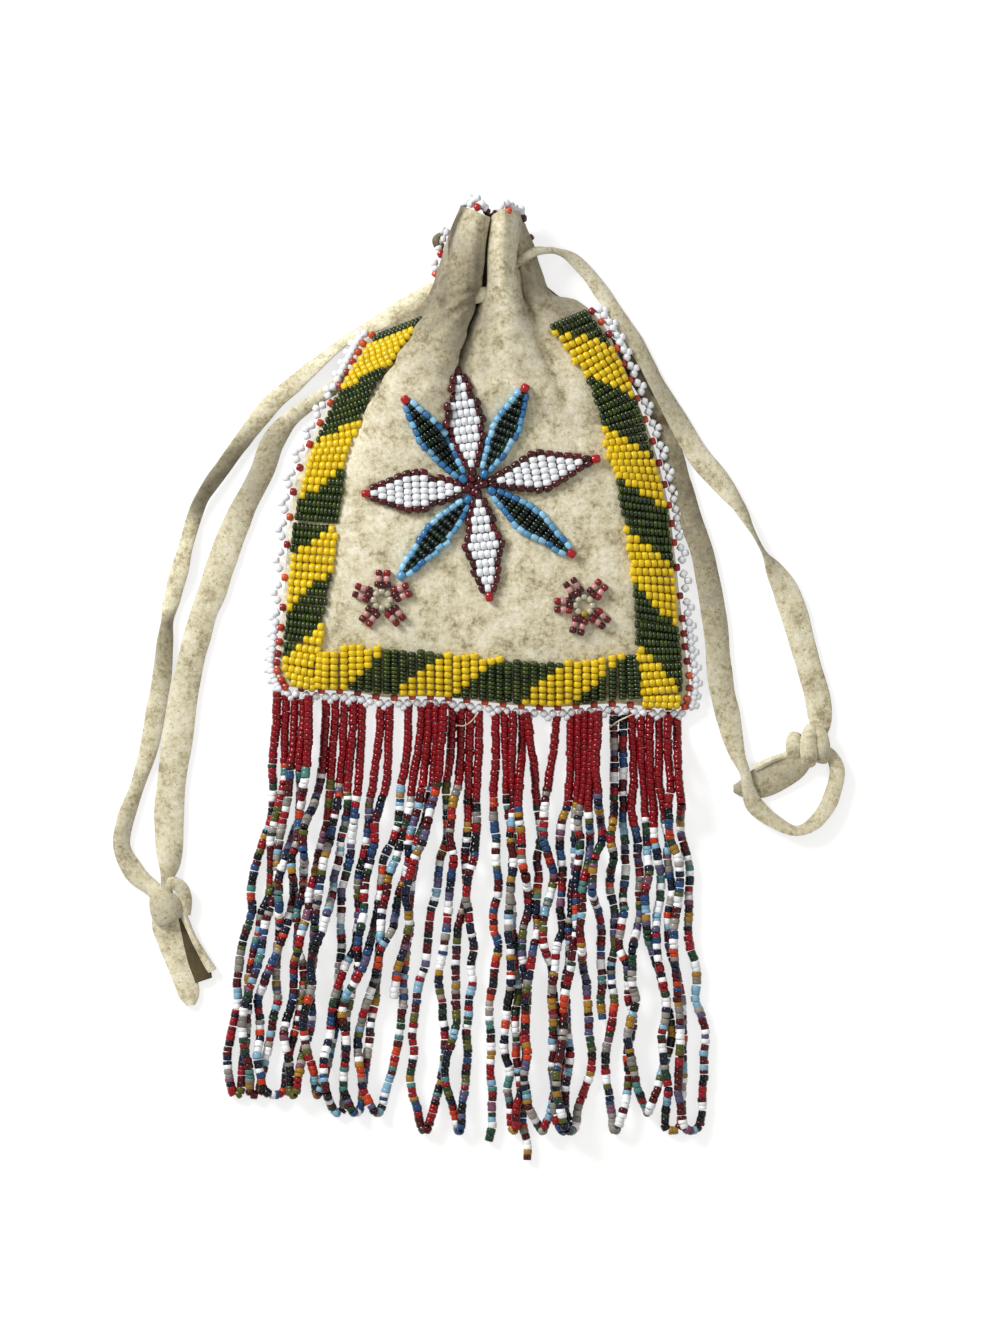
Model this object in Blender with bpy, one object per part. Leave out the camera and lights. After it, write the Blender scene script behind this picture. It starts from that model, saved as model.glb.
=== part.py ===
"""Beaded hide dice bag, lying flat on its back, drawn up at the neck by two thongs.

Metres, +Z up. The back panel's flat underside is on z = 0 with the origin at its middle,
+Y runs from the fringe to the mouth, and the beaded front faces up.
"""

import math

import bmesh
import bpy
from mathutils import Vector
from mathutils.bvhtree import BVHTree

MM = 0.001

# Main sizes of the bag
BAG_WIDTH = 111.8 * MM         # across the bottom corners
BAG_LENGTH = 134.6 * MM        # from the bottom corner to the mouth
HIDE = 1.2 * MM                # thickness of the tanned hide
THONG = 1.2 * MM               # thickness of the drawstrings' thongs
SEAT = 0.3 * MM                # clearance between two pieces that lie against each other
BEAD = 1.9 * MM                # diameter of the seed beads sewn on the hide
ROW_PITCH = 2.5 * MM           # distance between two rows of lane stitch

# Side seams of the bag, from the bottom corner to the mouth
LEFT_SEAM = [(-55.6, -46.6), (-57.8, -41.5), (-57.3, -35.5), (-56.2, -25.0), (-54.8, -5.0),
             (-52.8, 11.5), (-47.6, 26.5),
             (-40.4, 38.4), (-37.0, 45.6), (-32.6, 51.2), (-22.0, 56.6), (-15.8, 62.6),
             (-12.6, 71.0), (-9.8, 80.0), (-6.4, 88.0)]
RIGHT_SEAM = [(56.2, -52.2), (57.4, -45.6), (56.2, -36.0), (55.2, -26.0), (53.2, -8.0),
              (51.4, 5.0), (47.8, 19.5),
              (42.6, 34.0), (37.8, 45.6), (33.0, 55.0), (26.2, 61.2), (19.0, 63.4),
              (15.6, 71.0), (12.8, 79.4), (10.2, 85.6)]
ACROSS = BAG_WIDTH / ((RIGHT_SEAM[0][0] - LEFT_SEAM[0][0]) * MM)
ALONG = BAG_LENGTH / ((LEFT_SEAM[-1][1] - LEFT_SEAM[0][1]) * MM)
# How far the bottom edge hangs below the line between its corners, at even steps
HEM_DROP = [0.0, 0.5, 0.5, 1.6, 0.9, 0.9, 1.5, 2.1, 2.1, 1.0, 0.1, 0.6, 0.0]

# Loft of the bag
BODY_RISE = 6.6 * MM           # height of the front over the back in the middle of the body
NECK_RISE = 5.8 * MM           # the same in the neck, without the rolls
SHOULDER_REACH = 34.0 * MM     # distance from the edge at which the front is at full height
DOME = 2.2                     # how round the front rises from its edge
CORD_LIFT = THONG + SEAT       # how far the neck is held off the table by the thongs under it
LIFT_FROM, LIFT_TO = 24.0 * MM, 37.0 * MM
MOUTH_DIP = 3.4 * MM           # how far the mouth's edge dips between the two rolls
BACK_MOUTH = 0.93              # where the back panel ends, as a share of the way to the mouth

# Rolls of the gathered neck: distance up the bag, left edge, crest, right edge, height over the
# neck, and how gently the left and the right flank fall, from 0.5 for an ellipse
LEFT_ROLL = [(6.0, -42.0, -24.0, -11.4, 0.0, 0.6, 0.6), (14.0, -38.5, -21.0, -11.0, 1.0, 0.6, 0.55),
             (22.0, -35.6, -18.6, -10.6, 2.4, 0.55, 0.55), (29.7, -33.2, -17.2, -9.8, 3.8, 0.55, 0.55),
             (38.2, -28.4, -15.8, -8.8, 5.2, 0.55, 0.55), (45.0, -24.2, -13.0, -7.4, 6.4, 0.55, 0.55),
             (52.0, -19.6, -10.4, -5.2, 7.0, 0.55, 0.55), (59.6, -15.0, -7.6, -2.8, 7.6, 0.55, 0.55),
             (66.0, -12.6, -5.4, -1.0, 7.8, 0.55, 0.55), (73.0, -11.0, -4.6, -0.2, 7.6, 0.55, 0.55),
             (90.0, -5.8, -1.2, 1.8, 6.4, 0.55, 0.55)]
RIGHT_ROLL = [(12.0, -11.0, 8.0, 28.0, 0.0, 1.2, 0.9), (26.0, -10.6, 8.0, 25.0, 0.8, 1.2, 0.9),
              (38.0, -9.0, 6.8, 20.4, 2.4, 1.2, 0.8), (47.5, -6.6, 6.2, 15.6, 4.2, 1.1, 0.75),
              (53.3, -4.4, 6.0, 13.2, 5.4, 1.0, 0.7), (58.0, -2.4, 5.8, 11.8, 6.2, 0.9, 0.7),
              (62.0, 0.2, 5.6, 10.4, 6.8, 0.65, 0.65), (66.0, 1.4, 5.4, 9.4, 7.0, 0.55, 0.6),
              (71.0, 1.4, 5.2, 8.5, 7.0, 0.55, 0.6), (90.0, 3.0, 6.4, 11.2, 6.0, 0.55, 0.6)]
SIDE_FOLD = [(46.0, 18.0, 24.0, 31.0, 0.0, 0.7, 0.7), (56.0, 14.0, 19.0, 25.0, 1.2, 0.6, 0.6),
             (64.0, 11.0, 13.8, 17.4, 2.2, 0.55, 0.55), (76.0, 9.6, 11.8, 14.4, 2.4, 0.55, 0.55),
             (90.0, 8.6, 10.6, 12.4, 2.0, 0.55, 0.55)]

# Lanes of beadwork, outer and inner edge, from the bottom up or from left to right
LEFT_LANE_OUTER = [(-54.0, -45.2), (-56.0, -42.4), (-56.2, -39.0), (-55.6, -32.0), (-54.6, -20.0),
                   (-53.2, -2.0), (-51.3, 11.5), (-45.6, 27.7), (-39.2, 38.4), (-35.6, 45.1), (-31.4, 50.4)]
LEFT_LANE_INNER = [(-47.8, -47.0), (-47.9, -44.2), (-47.4, -40.5), (-45.6, -33.5), (-43.6, -20.0),
                   (-41.6, 0.3), (-39.2, 11.5), (-33.9, 25.5), (-28.6, 35.6), (-24.6, 43.0), (-20.2, 50.6)]
RIGHT_LANE_OUTER = [(54.6, -51.8), (55.3, -46.0), (54.6, -38.0), (53.5, -28.0), (51.6, -8.0), (50.0, 5.0),
                    (46.4, 18.2), (41.6, 32.8), (37.2, 44.2), (33.2, 51.4), (28.2, 57.4)]
RIGHT_LANE_INNER = [(44.8, -51.6), (43.6, -47.0), (42.8, -38.0), (42.0, -26.0), (40.0, -8.0), (37.4, 7.0),
                    (34.6, 17.8), (31.2, 29.6), (27.0, 39.2), (23.2, 46.4), (19.2, 53.2)]
BOTTOM_LANE_OUTER = [(-46.4, -47.2), (-38.0, -47.4), (-27.8, -48.6), (-10.3, -49.2), (5.9, -50.9),
                     (19.6, -51.9), (33.0, -50.6), (43.0, -49.9)]
BOTTOM_LANE_INNER = [(-45.8, -37.6), (-38.0, -35.8), (-27.8, -36.1), (-10.3, -37.2), (5.9, -39.2),
                     (19.6, -40.2), (33.0, -38.8), (42.2, -38.0)]

# Star petals: root, tip and width
STAR_PETALS = {
    "star_petal_white_up": ((-3.2, 12.8), (-7.3, 41.4), 8.2),
    "star_petal_white_right": ((1.8, 10.2), (31.3, 16.9), 8.8),
    "star_petal_white_down": ((-1.6, 5.6), (1.5, -21.7), 8.8),
    "star_petal_white_left": ((-5.6, 8.4), (-33.0, 7.2), 8.8),
    "star_petal_dark_up_left": ((-5.4, 11.4), (-21.9, 33.2), 7.4),
    "star_petal_dark_up_right": ((0.4, 12.4), (11.5, 36.5), 8.4),
    "star_petal_dark_down_left": ((-4.6, 6.2), (-23.1, -15.8), 8.6),
    "star_petal_dark_down_right": ((1.0, 6.6), (24.5, -9.6), 8.6),
}
ROSETTES = {"rosette_left": (-28.4, -22.4), "rosette_right": (28.0, -24.0)}
ROSETTE_RADIUS = 8.6 * MM
ROSETTE_PETALS = 5

# Picot edging
PICOT_PITCH = 5.5 * MM
PICOT_BASE = 0.9 * MM          # how far its first bead stands out from the edge
PICOT_REACH = 3.3 * MM         # how far the others do
PICOT_BEAD = 1.7 * MM
LEFT_PICOTS_TO = 52.5          # distance up the bag where the left edging ends
RIGHT_PICOTS_TO = 59.0         # the same on the right
BACK_EDGE_FROM = 67.0          # where the back's edging starts on the left of the neck

# Bead fringe: left and right top, tip, as distances across and along
FRINGE_BEAD = 2.1 * MM
FRINGE_LOOPS = [
    (-58.0, -55.5, -69.2, -159.4), (-53.0, -50.5, -64.0, -161.2), (-48.0, -44.8, -58.6, -161.0),
    (-41.6, -39.1, -53.2, -159.8), (-36.6, -34.1, -46.4, -160.6), (-29.0, -26.5, -41.4, -165.4),
    (-21.6, -19.1, -36.2, -164.8), (-16.4, -13.9, -30.6, -166.0), (-8.9, -6.4, -16.8, -167.4),
    (-3.9, -1.4, -7.0, -168.0), (8.2, 10.7, 9.0, -167.2), (13.2, 18.4, 15.9, -168.6),
    (20.9, 24.4, 20.4, -168.0), (26.9, 29.4, 24.8, -170.0), (36.4, 38.9, 37.4, -171.8),
    (41.4, 43.9, 46.2, -163.0), (46.4, 48.9, 53.0, -170.6), (51.4, 53.9, 58.4, -167.2),
]
FRINGE_SINGLES = [(-11.4, -24.4, -137.0), (3.2, 1.8, -172.4), (5.7, 11.4, -178.6), (31.9, 31.8, -141.6)]
FRINGE_STEP = 10.0 * MM        # distance between two rings of a strand
FRINGE_SWAY = 0.9 * MM         # how far a strand wanders from its line

# Thongs of the drawstrings: across, along, height of the underside over the table, width
KNOT_SIZE = (5.4 * MM, 4.6 * MM, 2.1 * MM)
LEFT_KNOT = (-88.2, -106.8)
LEFT_THONG = [
    (-89.4, -106.0, 1.2, 4.2), (-93.0, -103.0, 0.4, 4.6), (-97.8, -98.8, 0.0, 5.4),
    (-101.4, -91.6, 0.0, 5.2), (-100.4, -84.0, 0.0, 5.4), (-97.2, -75.0, 0.0, 4.2),
    (-93.4, -62.6, 0.0, 5.2), (-91.6, -52.0, 0.0, 5.6), (-90.2, -44.0, 0.0, 5.2),
    (-89.2, -34.0, 0.0, 5.2), (-88.4, -27.6, 0.0, 4.4), (-87.4, -22.0, 0.0, 5.2),
    (-85.0, -13.6, 0.0, 5.0), (-79.6, 4.8, 0.0, 5.0), (-76.0, 10.6, 0.0, 5.4), (-69.2, 20.0, 0.0, 5.0),
    (-60.0, 31.8, 0.0, 5.2), (-49.6, 41.2, 0.0, 4.4), (-44.4, 45.6, 0.0, 3.2), (-38.9, 50.0, 0.0, 2.4),
    (-33.2, 53.1, 0.0, 3.0), (-25.0, 57.6, 0.0, 5.4), (-17.6, 62.4, 0.2, 5.2),
    (-12.0, 64.4, 0.0, 5.0), (-2.0, 65.0, 0.0, 5.0), (3.4, 62.8, 0.0, 4.8),
    (3.8, 59.4, 0.0, 4.8), (-1.0, 57.2, 0.0, 5.0), (-12.0, 54.8, 0.0, 5.0), (-24.0, 48.6, 0.0, 4.6),
    (-34.0, 41.8, 0.0, 4.2), (-41.8, 36.9, 0.0, 3.8), (-48.6, 32.6, 0.0, 3.8), (-54.6, 28.0, 0.0, 5.0),
    (-59.4, 21.2, 0.0, 6.4), (-62.4, 12.8, 0.0, 6.8), (-66.8, 4.4, 0.0, 7.0), (-72.0, -7.8, 0.0, 7.8),
    (-76.0, -19.6, 0.0, 8.0), (-79.0, -28.4, 0.0, 7.6), (-82.0, -39.6, 0.0, 7.6),
    (-84.4, -51.6, 0.0, 8.2), (-86.4, -65.4, 0.0, 8.2), (-88.0, -78.0, 0.0, 8.0),
    (-88.2, -88.0, 0.0, 8.2), (-88.0, -96.0, 0.0, 6.6), (-88.8, -101.6, 0.4, 3.8),
    (-88.4, -105.4, 1.2, 3.8),
]
LEFT_TAILS = [
    [
        (-89.0, -108.0, 1.6, 6.6), (-89.4, -112.6, 0.6, 7.2), (-87.6, -118.6, 0.0, 7.8),
        (-84.8, -126.4, 0.0, 8.0), (-82.4, -134.4, 0.0, 6.8),
    ],
    [
        (-86.6, -108.0, 1.4, 4.6), (-83.8, -111.6, 0.6, 4.8), (-80.8, -117.2, 0.0, 5.4),
        (-76.6, -125.6, 0.0, 6.0),
    ],
]
RIGHT_KNOT = (90.2, -63.6)
RIGHT_THONG = [
    (91.6, -62.4, 1.4, 4.6), (94.0, -57.6, 0.4, 6.0), (93.6, -51.0, 0.0, 7.2), (91.0, -41.0, 0.0, 6.8),
    (88.0, -30.6, 0.0, 7.4), (85.4, -22.0, 0.0, 7.4), (81.6, -14.6, 0.0, 5.8), (77.2, -7.4, 0.0, 3.4),
    (72.0, 2.8, 0.0, 4.6), (67.0, 9.6, 0.0, 5.8), (59.6, 18.6, 0.0, 6.4), (53.2, 29.6, 0.0, 5.6),
    (47.6, 39.6, 0.0, 4.8), (41.4, 51.0, 0.0, 5.2), (35.8, 60.6, 0.0, 5.2), (30.0, 68.0, 0.0, 5.0),
    (24.2, 73.0, 0.0, 4.4), (18.6, 76.0, 0.0, 3.2), (13.4, 76.6, 0.0, 3.4), (9.0, 77.4, 0.0, 4.0),
    (4.0, 77.6, 0.0, 4.8), (-1.4, 76.6, 0.0, 4.8), (-2.6, 73.8, 0.0, 4.8), (1.0, 71.4, 0.0, 4.8),
    (9.0, 69.4, 0.0, 4.8), (17.0, 62.4, 0.0, 5.0), (25.6, 56.0, 0.0, 5.0), (34.4, 48.8, 0.0, 5.0),
    (43.2, 41.6, 0.0, 5.2), (51.4, 30.6, 0.0, 5.6), (54.8, 20.8, 0.0, 5.8), (57.6, 11.0, 0.0, 6.0),
    (60.2, 1.0, 0.0, 6.4), (62.4, -9.0, 0.0, 6.8), (63.6, -20.0, 0.0, 7.0), (65.0, -32.0, 0.0, 7.0),
    (67.2, -46.0, 0.0, 7.0), (69.8, -58.0, 0.4, 6.4), (72.6, -67.0, 1.5, 4.6), (73.8, -72.6, 1.9, 5.4),
    (75.6, -78.6, 1.4, 6.0), (81.2, -84.2, 0.2, 5.6), (88.2, -86.8, 0.0, 5.2), (94.4, -84.6, 0.0, 5.4),
    (98.4, -78.8, 0.0, 5.6), (99.6, -71.8, 0.0, 5.2), (97.4, -66.2, 0.4, 4.8), (93.0, -64.2, 1.4, 4.4),
]
RIGHT_TAILS = [
    [
        (89.6, -65.4, 1.8, 6.2), (86.0, -68.4, 0.6, 8.2), (80.0, -71.8, 0.0, 8.8),
        (74.6, -73.8, 0.0, 7.8), (70.4, -75.0, 0.0, 3.0),
    ],
]

for old in list(bpy.data.objects):
    bpy.data.objects.remove(old, do_unlink=True)


def material(name, colour, roughness):
    made = bpy.data.materials.new(name)
    made.use_nodes = True
    shader = made.node_tree.nodes["Principled BSDF"]
    shader.inputs["Base Color"].default_value = (*colour, 1.0)
    shader.inputs["Roughness"].default_value = roughness
    shader.inputs["Metallic"].default_value = 0.0
    return made


BUCKSKIN = material("buckskin", (0.60, 0.53, 0.38), 0.9)
THONG_HIDE = material("thong_hide", (0.56, 0.48, 0.34), 0.9)
YELLOW_BEADS = material("yellow_beads", (0.75, 0.50, 0.03), 0.25)
WHITE_BEADS = material("white_beads", (0.85, 0.86, 0.88), 0.25)
DARK_BEADS = material("dark_green_beads", (0.02, 0.06, 0.04), 0.2)
MAROON_BEADS = material("maroon_beads", (0.14, 0.01, 0.02), 0.2)


def add_mesh(name, build, look):
    mesh = bpy.data.meshes.new(name)
    bmesh.ops.recalc_face_normals(build, faces=build.faces)
    build.to_mesh(mesh)
    build.free()
    mesh.shade_smooth()
    mesh.materials.append(look)
    made = bpy.data.objects.new(name, mesh)
    bpy.context.collection.objects.link(made)
    return made


def metres(points):
    """Points in metres at the bag's own width and length; a point may carry a height."""
    return [Vector((x * ACROSS * MM, y * ALONG * MM, *[value * MM for value in rest or (0.0,)]))
            for x, y, *rest in points]


def smooth_point(points, along):
    """Point of a smooth curve through the given ones; along counts from 0 at the first."""
    last = len(points) - 1
    index = min(int(along), last - 1)
    t = along - index
    a = points[max(index - 1, 0)]
    b, c = points[index], points[index + 1]
    d = points[min(index + 2, last)]
    return 0.5 * (2 * b + (c - a) * t + (2 * a - 5 * b + 4 * c - d) * t**2 + (3 * b - a - 3 * c + d) * t**3)


def smooth_run(points, count):
    last = len(points) - 1
    return [smooth_point(points, last * step / count) for step in range(count + 1)]


def run_length(points):
    return sum((b - a).length for a, b in zip(points, points[1:]))


def even_shares(points, count):
    """Places along a run of points, counted as smooth_point does, that are equally far apart."""
    total = run_length(points)
    shares, walked, due = [], 0.0, 0
    for index, (a, b) in enumerate(zip(points, points[1:])):
        step = (b - a).length
        while due <= count and total * due / count <= walked + step + 1e-9:
            shares.append(min(index + (total * due / count - walked) / step, len(points) - 1))
            due += 1
        walked += step
    return shares


def ease(t):
    t = min(max(t, 0.0), 1.0)
    return t * t * (3 - 2 * t)


def table_lift(y):
    return CORD_LIFT * ease((y - LIFT_FROM) / (LIFT_TO - LIFT_FROM))


def rise(distance, reach):
    return 1 - (1 - min(max(distance / reach, 0.0), 1.0)) ** DOME


def roll_height(stations, x, y):
    """Height that one roll of the neck adds at a place."""
    x, y = x / (ACROSS * MM), min(y / (ALONG * MM), stations[-1][0])
    if y <= stations[0][0]:
        return 0.0
    index = next(i for i in range(len(stations) - 1) if y <= stations[i + 1][0])
    first, second = stations[index], stations[index + 1]
    t = ease((y - first[0]) / (second[0] - first[0]))
    station = [p + (q - p) * t for p, q in zip(first[1:], second[1:])]
    left, crest, right, height, left_fall, right_fall = station
    across = (crest - x) / (crest - left) if x < crest else (x - crest) / (right - crest)
    if across >= 1:
        return 0.0
    return height * MM * (1 - across**2) ** (left_fall if x < crest else right_fall)


# Rows and columns of the two panels
ROWS, COLUMNS = 30, 30
left_seam = smooth_run(metres(LEFT_SEAM), ROWS)
right_seam = smooth_run(metres(RIGHT_SEAM), ROWS)


def hem_drop(across):
    """How far the bottom edge hangs below the line between its corners."""
    return smooth_point([Vector((drop * MM, 0)) for drop in HEM_DROP], across * (len(HEM_DROP) - 1)).x


def panel_place(row, across):
    """Place of the panels' grid in plan; the bottom edge hangs in a wave and the mouth dips."""
    place = left_seam[row].lerp(right_seam[row], across)
    bow = hem_drop(across) * max(0.0, 1 - row / 6)
    reach = 0.48 if across < 0.5 else 0.2
    dip = MOUTH_DIP * max(0.0, 1 - abs(across - 0.5) / reach) * max(0.0, (row - ROWS + 5) / 5)
    return Vector((place.x, place.y - bow - dip, 0.0))


def front_top(row, across):
    """Point on the outer face of the front panel."""
    place = panel_place(row, across)
    width = (right_seam[row] - left_seam[row]).length
    reach = min(SHOULDER_REACH, width / 2)
    from_bottom = place.y - panel_place(0, across).y
    narrow = ease((place.y - LIFT_FROM) / (2 * LIFT_FROM))
    loft = BODY_RISE + (NECK_RISE - BODY_RISE) * narrow
    height = loft * rise(across * width, reach) * rise((1 - across) * width, reach)
    height *= rise(from_bottom, SHOULDER_REACH)
    rolls = max(roll_height(stations, place.x, place.y) for stations in (LEFT_ROLL, RIGHT_ROLL, SIDE_FOLD))
    rolls *= rise(min(across, 1 - across) * width, HIDE * 3)
    place.z = table_lift(place.y) + 2 * HIDE + SEAT + height + rolls
    return place


def back_top(row, across):
    """Point on the inner face of the back panel, which ends short of the front's mouth."""
    along = row / ROWS * BACK_MOUTH * (len(LEFT_SEAM) - 1)
    place = smooth_point(metres(LEFT_SEAM), along).lerp(smooth_point(metres(RIGHT_SEAM), along), across)
    place.y -= hem_drop(across) * max(0.0, 1 - row / 6)
    place.z = table_lift(place.y) + HIDE
    return place


def sheet(name, surface, rows, columns, look):
    """Hide of even thickness hung below a surface, closed round its edge."""
    build = bmesh.new()
    top = [[surface(row * ROWS // rows, column / columns) for column in range(columns + 1)]
           for row in range(rows + 1)]
    upper, lower = [], []
    for r in range(rows + 1):
        upper.append([build.verts.new(point) for point in top[r]])
        line = []
        for c in range(columns + 1):
            across = top[r][min(c + 1, columns)] - top[r][max(c - 1, 0)]
            along = top[min(r + 1, rows)][c] - top[max(r - 1, 0)][c]
            normal = across.cross(along).normalized()
            if c in (0, columns):
                normal = Vector((0, 0, 1))
            line.append(build.verts.new(top[r][c] - normal * HIDE))
        lower.append(line)
    for r in range(rows):
        for c in range(columns):
            build.faces.new((upper[r][c], upper[r][c + 1], upper[r + 1][c + 1], upper[r + 1][c]))
            build.faces.new((lower[r][c], lower[r + 1][c], lower[r + 1][c + 1], lower[r][c + 1]))
    rim = upper[0] + [upper[r][columns] for r in range(1, rows + 1)]
    rim += upper[rows][-2::-1] + [upper[r][0] for r in range(rows - 1, 0, -1)]
    foot = lower[0] + [lower[r][columns] for r in range(1, rows + 1)]
    foot += lower[rows][-2::-1] + [lower[r][0] for r in range(rows - 1, 0, -1)]
    for a, b, c, d in zip(rim, rim[1:] + rim[:1], foot[1:] + foot[:1], foot):
        build.faces.new((a, b, c, d))
    surface_tree = BVHTree.FromBMesh(build)
    return add_mesh(name, build, look), surface_tree


front_panel, front_surface = sheet("front_panel", front_top, ROWS, COLUMNS, BUCKSKIN)
back_panel, back_surface = sheet("back_panel", back_top, ROWS, 12, BUCKSKIN)


def on_front(x, y):
    """Height of the front panel's outer face at a place in plan."""
    hit = front_surface.ray_cast(Vector((x, y, 1.0)), Vector((0, 0, -1)))[0]
    return hit.z if hit else 2 * HIDE + SEAT + table_lift(y)


def pad(name, sections, look, under=2):
    """Beadwork laid on the front: each section is a list of (place, thickness) across the pad.

    The underside has its own places, under steps across, so that it follows the hide.
    """
    build = bmesh.new()
    upper, lower = [], []
    for section in sections:
        tops = []
        for place, thickness in section:
            tops.append(build.verts.new((place.x, place.y, on_front(place.x, place.y) + SEAT + thickness)))
        bottoms = []
        first, last = section[0][0], section[-1][0]
        for step in range(under + 1):
            place = first.lerp(last, step / under)
            bottoms.append(build.verts.new((place.x, place.y, on_front(place.x, place.y) + SEAT)))
        upper.append(tops)
        lower.append(bottoms)
    for r in range(len(sections) - 1):
        for c in range(len(upper[r]) - 1):
            build.faces.new((upper[r][c], upper[r][c + 1], upper[r + 1][c + 1], upper[r + 1][c]))
        for c in range(under):
            build.faces.new((lower[r][c], lower[r + 1][c], lower[r + 1][c + 1], lower[r][c + 1]))
        build.faces.new((upper[r][0], upper[r + 1][0], lower[r + 1][0], lower[r][0]))
        build.faces.new((upper[r][-1], lower[r][-1], lower[r + 1][-1], upper[r + 1][-1]))
    for end in (0, -1):
        build.faces.new(upper[end] + lower[end][::-1])
    return add_mesh(name, build, look)


def lane(name, outer_points, inner_points, look):
    """Lane stitch: rows of beads across the lane, each row a ridge that arches in the middle."""
    outer_points, inner_points = metres(outer_points), metres(inner_points)
    middle = [(a + b) / 2 for a, b in zip(outer_points, inner_points)]
    steps = 2 * round(run_length(middle) / ROW_PITCH)
    sections = []
    for step, along in enumerate(even_shares(middle, steps)):
        outer, inner = smooth_point(outer_points, along), smooth_point(inner_points, along)
        crest = BEAD if step % 2 else BEAD * 0.62
        profile = ((0.0, 0.55), (0.33, 1.0), (0.67, 1.0), (1.0, 0.55))
        sections.append([(outer.lerp(inner, w), crest * share) for w, share in profile])
    return pad(name, sections, look)


lane("border_left", LEFT_LANE_OUTER, LEFT_LANE_INNER, YELLOW_BEADS)
lane("border_right", RIGHT_LANE_OUTER, RIGHT_LANE_INNER, YELLOW_BEADS)
lane("border_bottom", BOTTOM_LANE_OUTER, BOTTOM_LANE_INNER, YELLOW_BEADS)


def petal(name, root, tip, width, look):
    """Long pointed petal of beads, widest in its middle and rounded over."""
    root, tip = metres([root, tip])
    side = Vector((root.y - tip.y, tip.x - root.x, 0)).normalized() * width * MM / 2
    steps = 8
    sections = []
    for step in range(steps + 1):
        along = 0.03 + 0.94 * step / steps
        half = side * math.sin(math.pi * along) ** 0.9
        middle = root.lerp(tip, along)
        profile = ((-1.0, 0.55), (-0.4, 1.0), (0.4, 1.0), (1.0, 0.55))
        sections.append([(middle + half * w, BEAD * share) for w, share in profile])
    return pad(name, sections, look)


for petal_name, (root, tip, width) in STAR_PETALS.items():
    petal(petal_name, root, tip, width, WHITE_BEADS if "white" in petal_name else DARK_BEADS)


def rosette(name, centre):
    """Five rounded petals round a ring of clear beads."""
    centre = metres([centre])[0]
    build = bmesh.new()
    spokes = ROSETTE_PETALS * 6
    rings = ((0.5, 0.85), (0.8, 1.0), (1.0, 0.5))

    def place(angle, share):
        lobe = 0.78 + 0.22 * math.cos(ROSETTE_PETALS * (angle - math.pi / 2))
        radius = ROSETTE_RADIUS * share * lobe
        return centre.x + radius * math.cos(angle), centre.y + radius * math.sin(angle)

    angles = [math.tau * spoke / spokes for spoke in range(spokes)]
    hub = build.verts.new((centre.x, centre.y, on_front(centre.x, centre.y) + SEAT + BEAD * 0.7))
    base = build.verts.new((centre.x, centre.y, on_front(centre.x, centre.y) + SEAT))
    loops = []
    for share, thickness in rings:
        ring = [build.verts.new((x, y, on_front(x, y) + SEAT + BEAD * thickness))
                for x, y in (place(angle, share) for angle in angles)]
        loops.append(ring)
    for share in (1.0, 0.6):
        ring = [build.verts.new((x, y, on_front(x, y) + SEAT))
                for x, y in (place(angle, share) for angle in angles)]
        loops.append(ring)
    for spoke in range(spokes):
        after = (spoke + 1) % spokes
        build.faces.new((hub, loops[0][spoke], loops[0][after]))
        build.faces.new((base, loops[-1][after], loops[-1][spoke]))
        for a, b in zip(loops, loops[1:]):
            build.faces.new((a[spoke], b[spoke], b[after], a[after]))
    return add_mesh(name, build, MAROON_BEADS)


for rosette_name, rosette_centre in ROSETTES.items():
    rosette(rosette_name, rosette_centre)


def tube(name, path, radius, sides, look):
    """String of beads as a tube along a path of points."""
    build = bmesh.new()
    rings = []
    for index, point in enumerate(path):
        ahead = path[min(index + 1, len(path) - 1)] - path[max(index - 1, 0)]
        side = ahead.cross(Vector((0, 0, 1)))
        side = side.normalized() if side.length > 1e-9 else Vector((1, 0, 0))
        over = side.cross(ahead).normalized()
        rings.append([build.verts.new(point + radius * (side * math.cos(angle) + over * math.sin(angle)))
                      for angle in (math.tau * (k + 0.5) / sides for k in range(sides))])
    for first, second in zip(rings, rings[1:]):
        for k in range(sides):
            build.faces.new((first[k], first[(k + 1) % sides], second[(k + 1) % sides], second[k]))
    build.faces.new(rings[0])
    build.faces.new(rings[-1][::-1])
    return add_mesh(name, build, look)


def picots(name, edge, outward, base_height, tip_height):
    """Picot edging: the beads run out and back along an edge, one bead on it and three beyond it."""
    count = max(2, round(run_length(edge) / PICOT_PITCH))
    last = len(edge) - 1
    path = []
    for index in range(3 * count + 1):
        along = last * index / (3 * count)
        point = smooth_point(edge, along)
        ahead = smooth_point(edge, min(along + 0.05, last)) - smooth_point(edge, max(along - 0.05, 0.0))
        away = Vector((ahead.y, -ahead.x, 0)).normalized() * outward
        out = index % 3 != 0
        place = point + away * (PICOT_REACH if out else PICOT_BASE)
        place.z = point.z + (tip_height if out else base_height)
        path.append(place)
    return tube(name, path, PICOT_BEAD / 2, 4, WHITE_BEADS)


# The beads at the edge ride on the rim, and the three beyond it hang down beside it
RIM = 2 * HIDE + 2 * SEAT + PICOT_BEAD / 2


def rim_line(seam, highest):
    return [Vector((p.x, p.y, table_lift(p.y))) for p in seam if p.y < highest * ALONG * MM]


picots("picots_left", rim_line(left_seam, LEFT_PICOTS_TO), -1, RIM, RIM - HIDE)
picots("picots_right", rim_line(right_seam, RIGHT_PICOTS_TO), 1, RIM, RIM - HIDE)
bottom_edge = [panel_place(0, column / 12) for column in range(1, 12)]
picots("picots_bottom", bottom_edge, 1, RIM, RIM)


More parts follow.
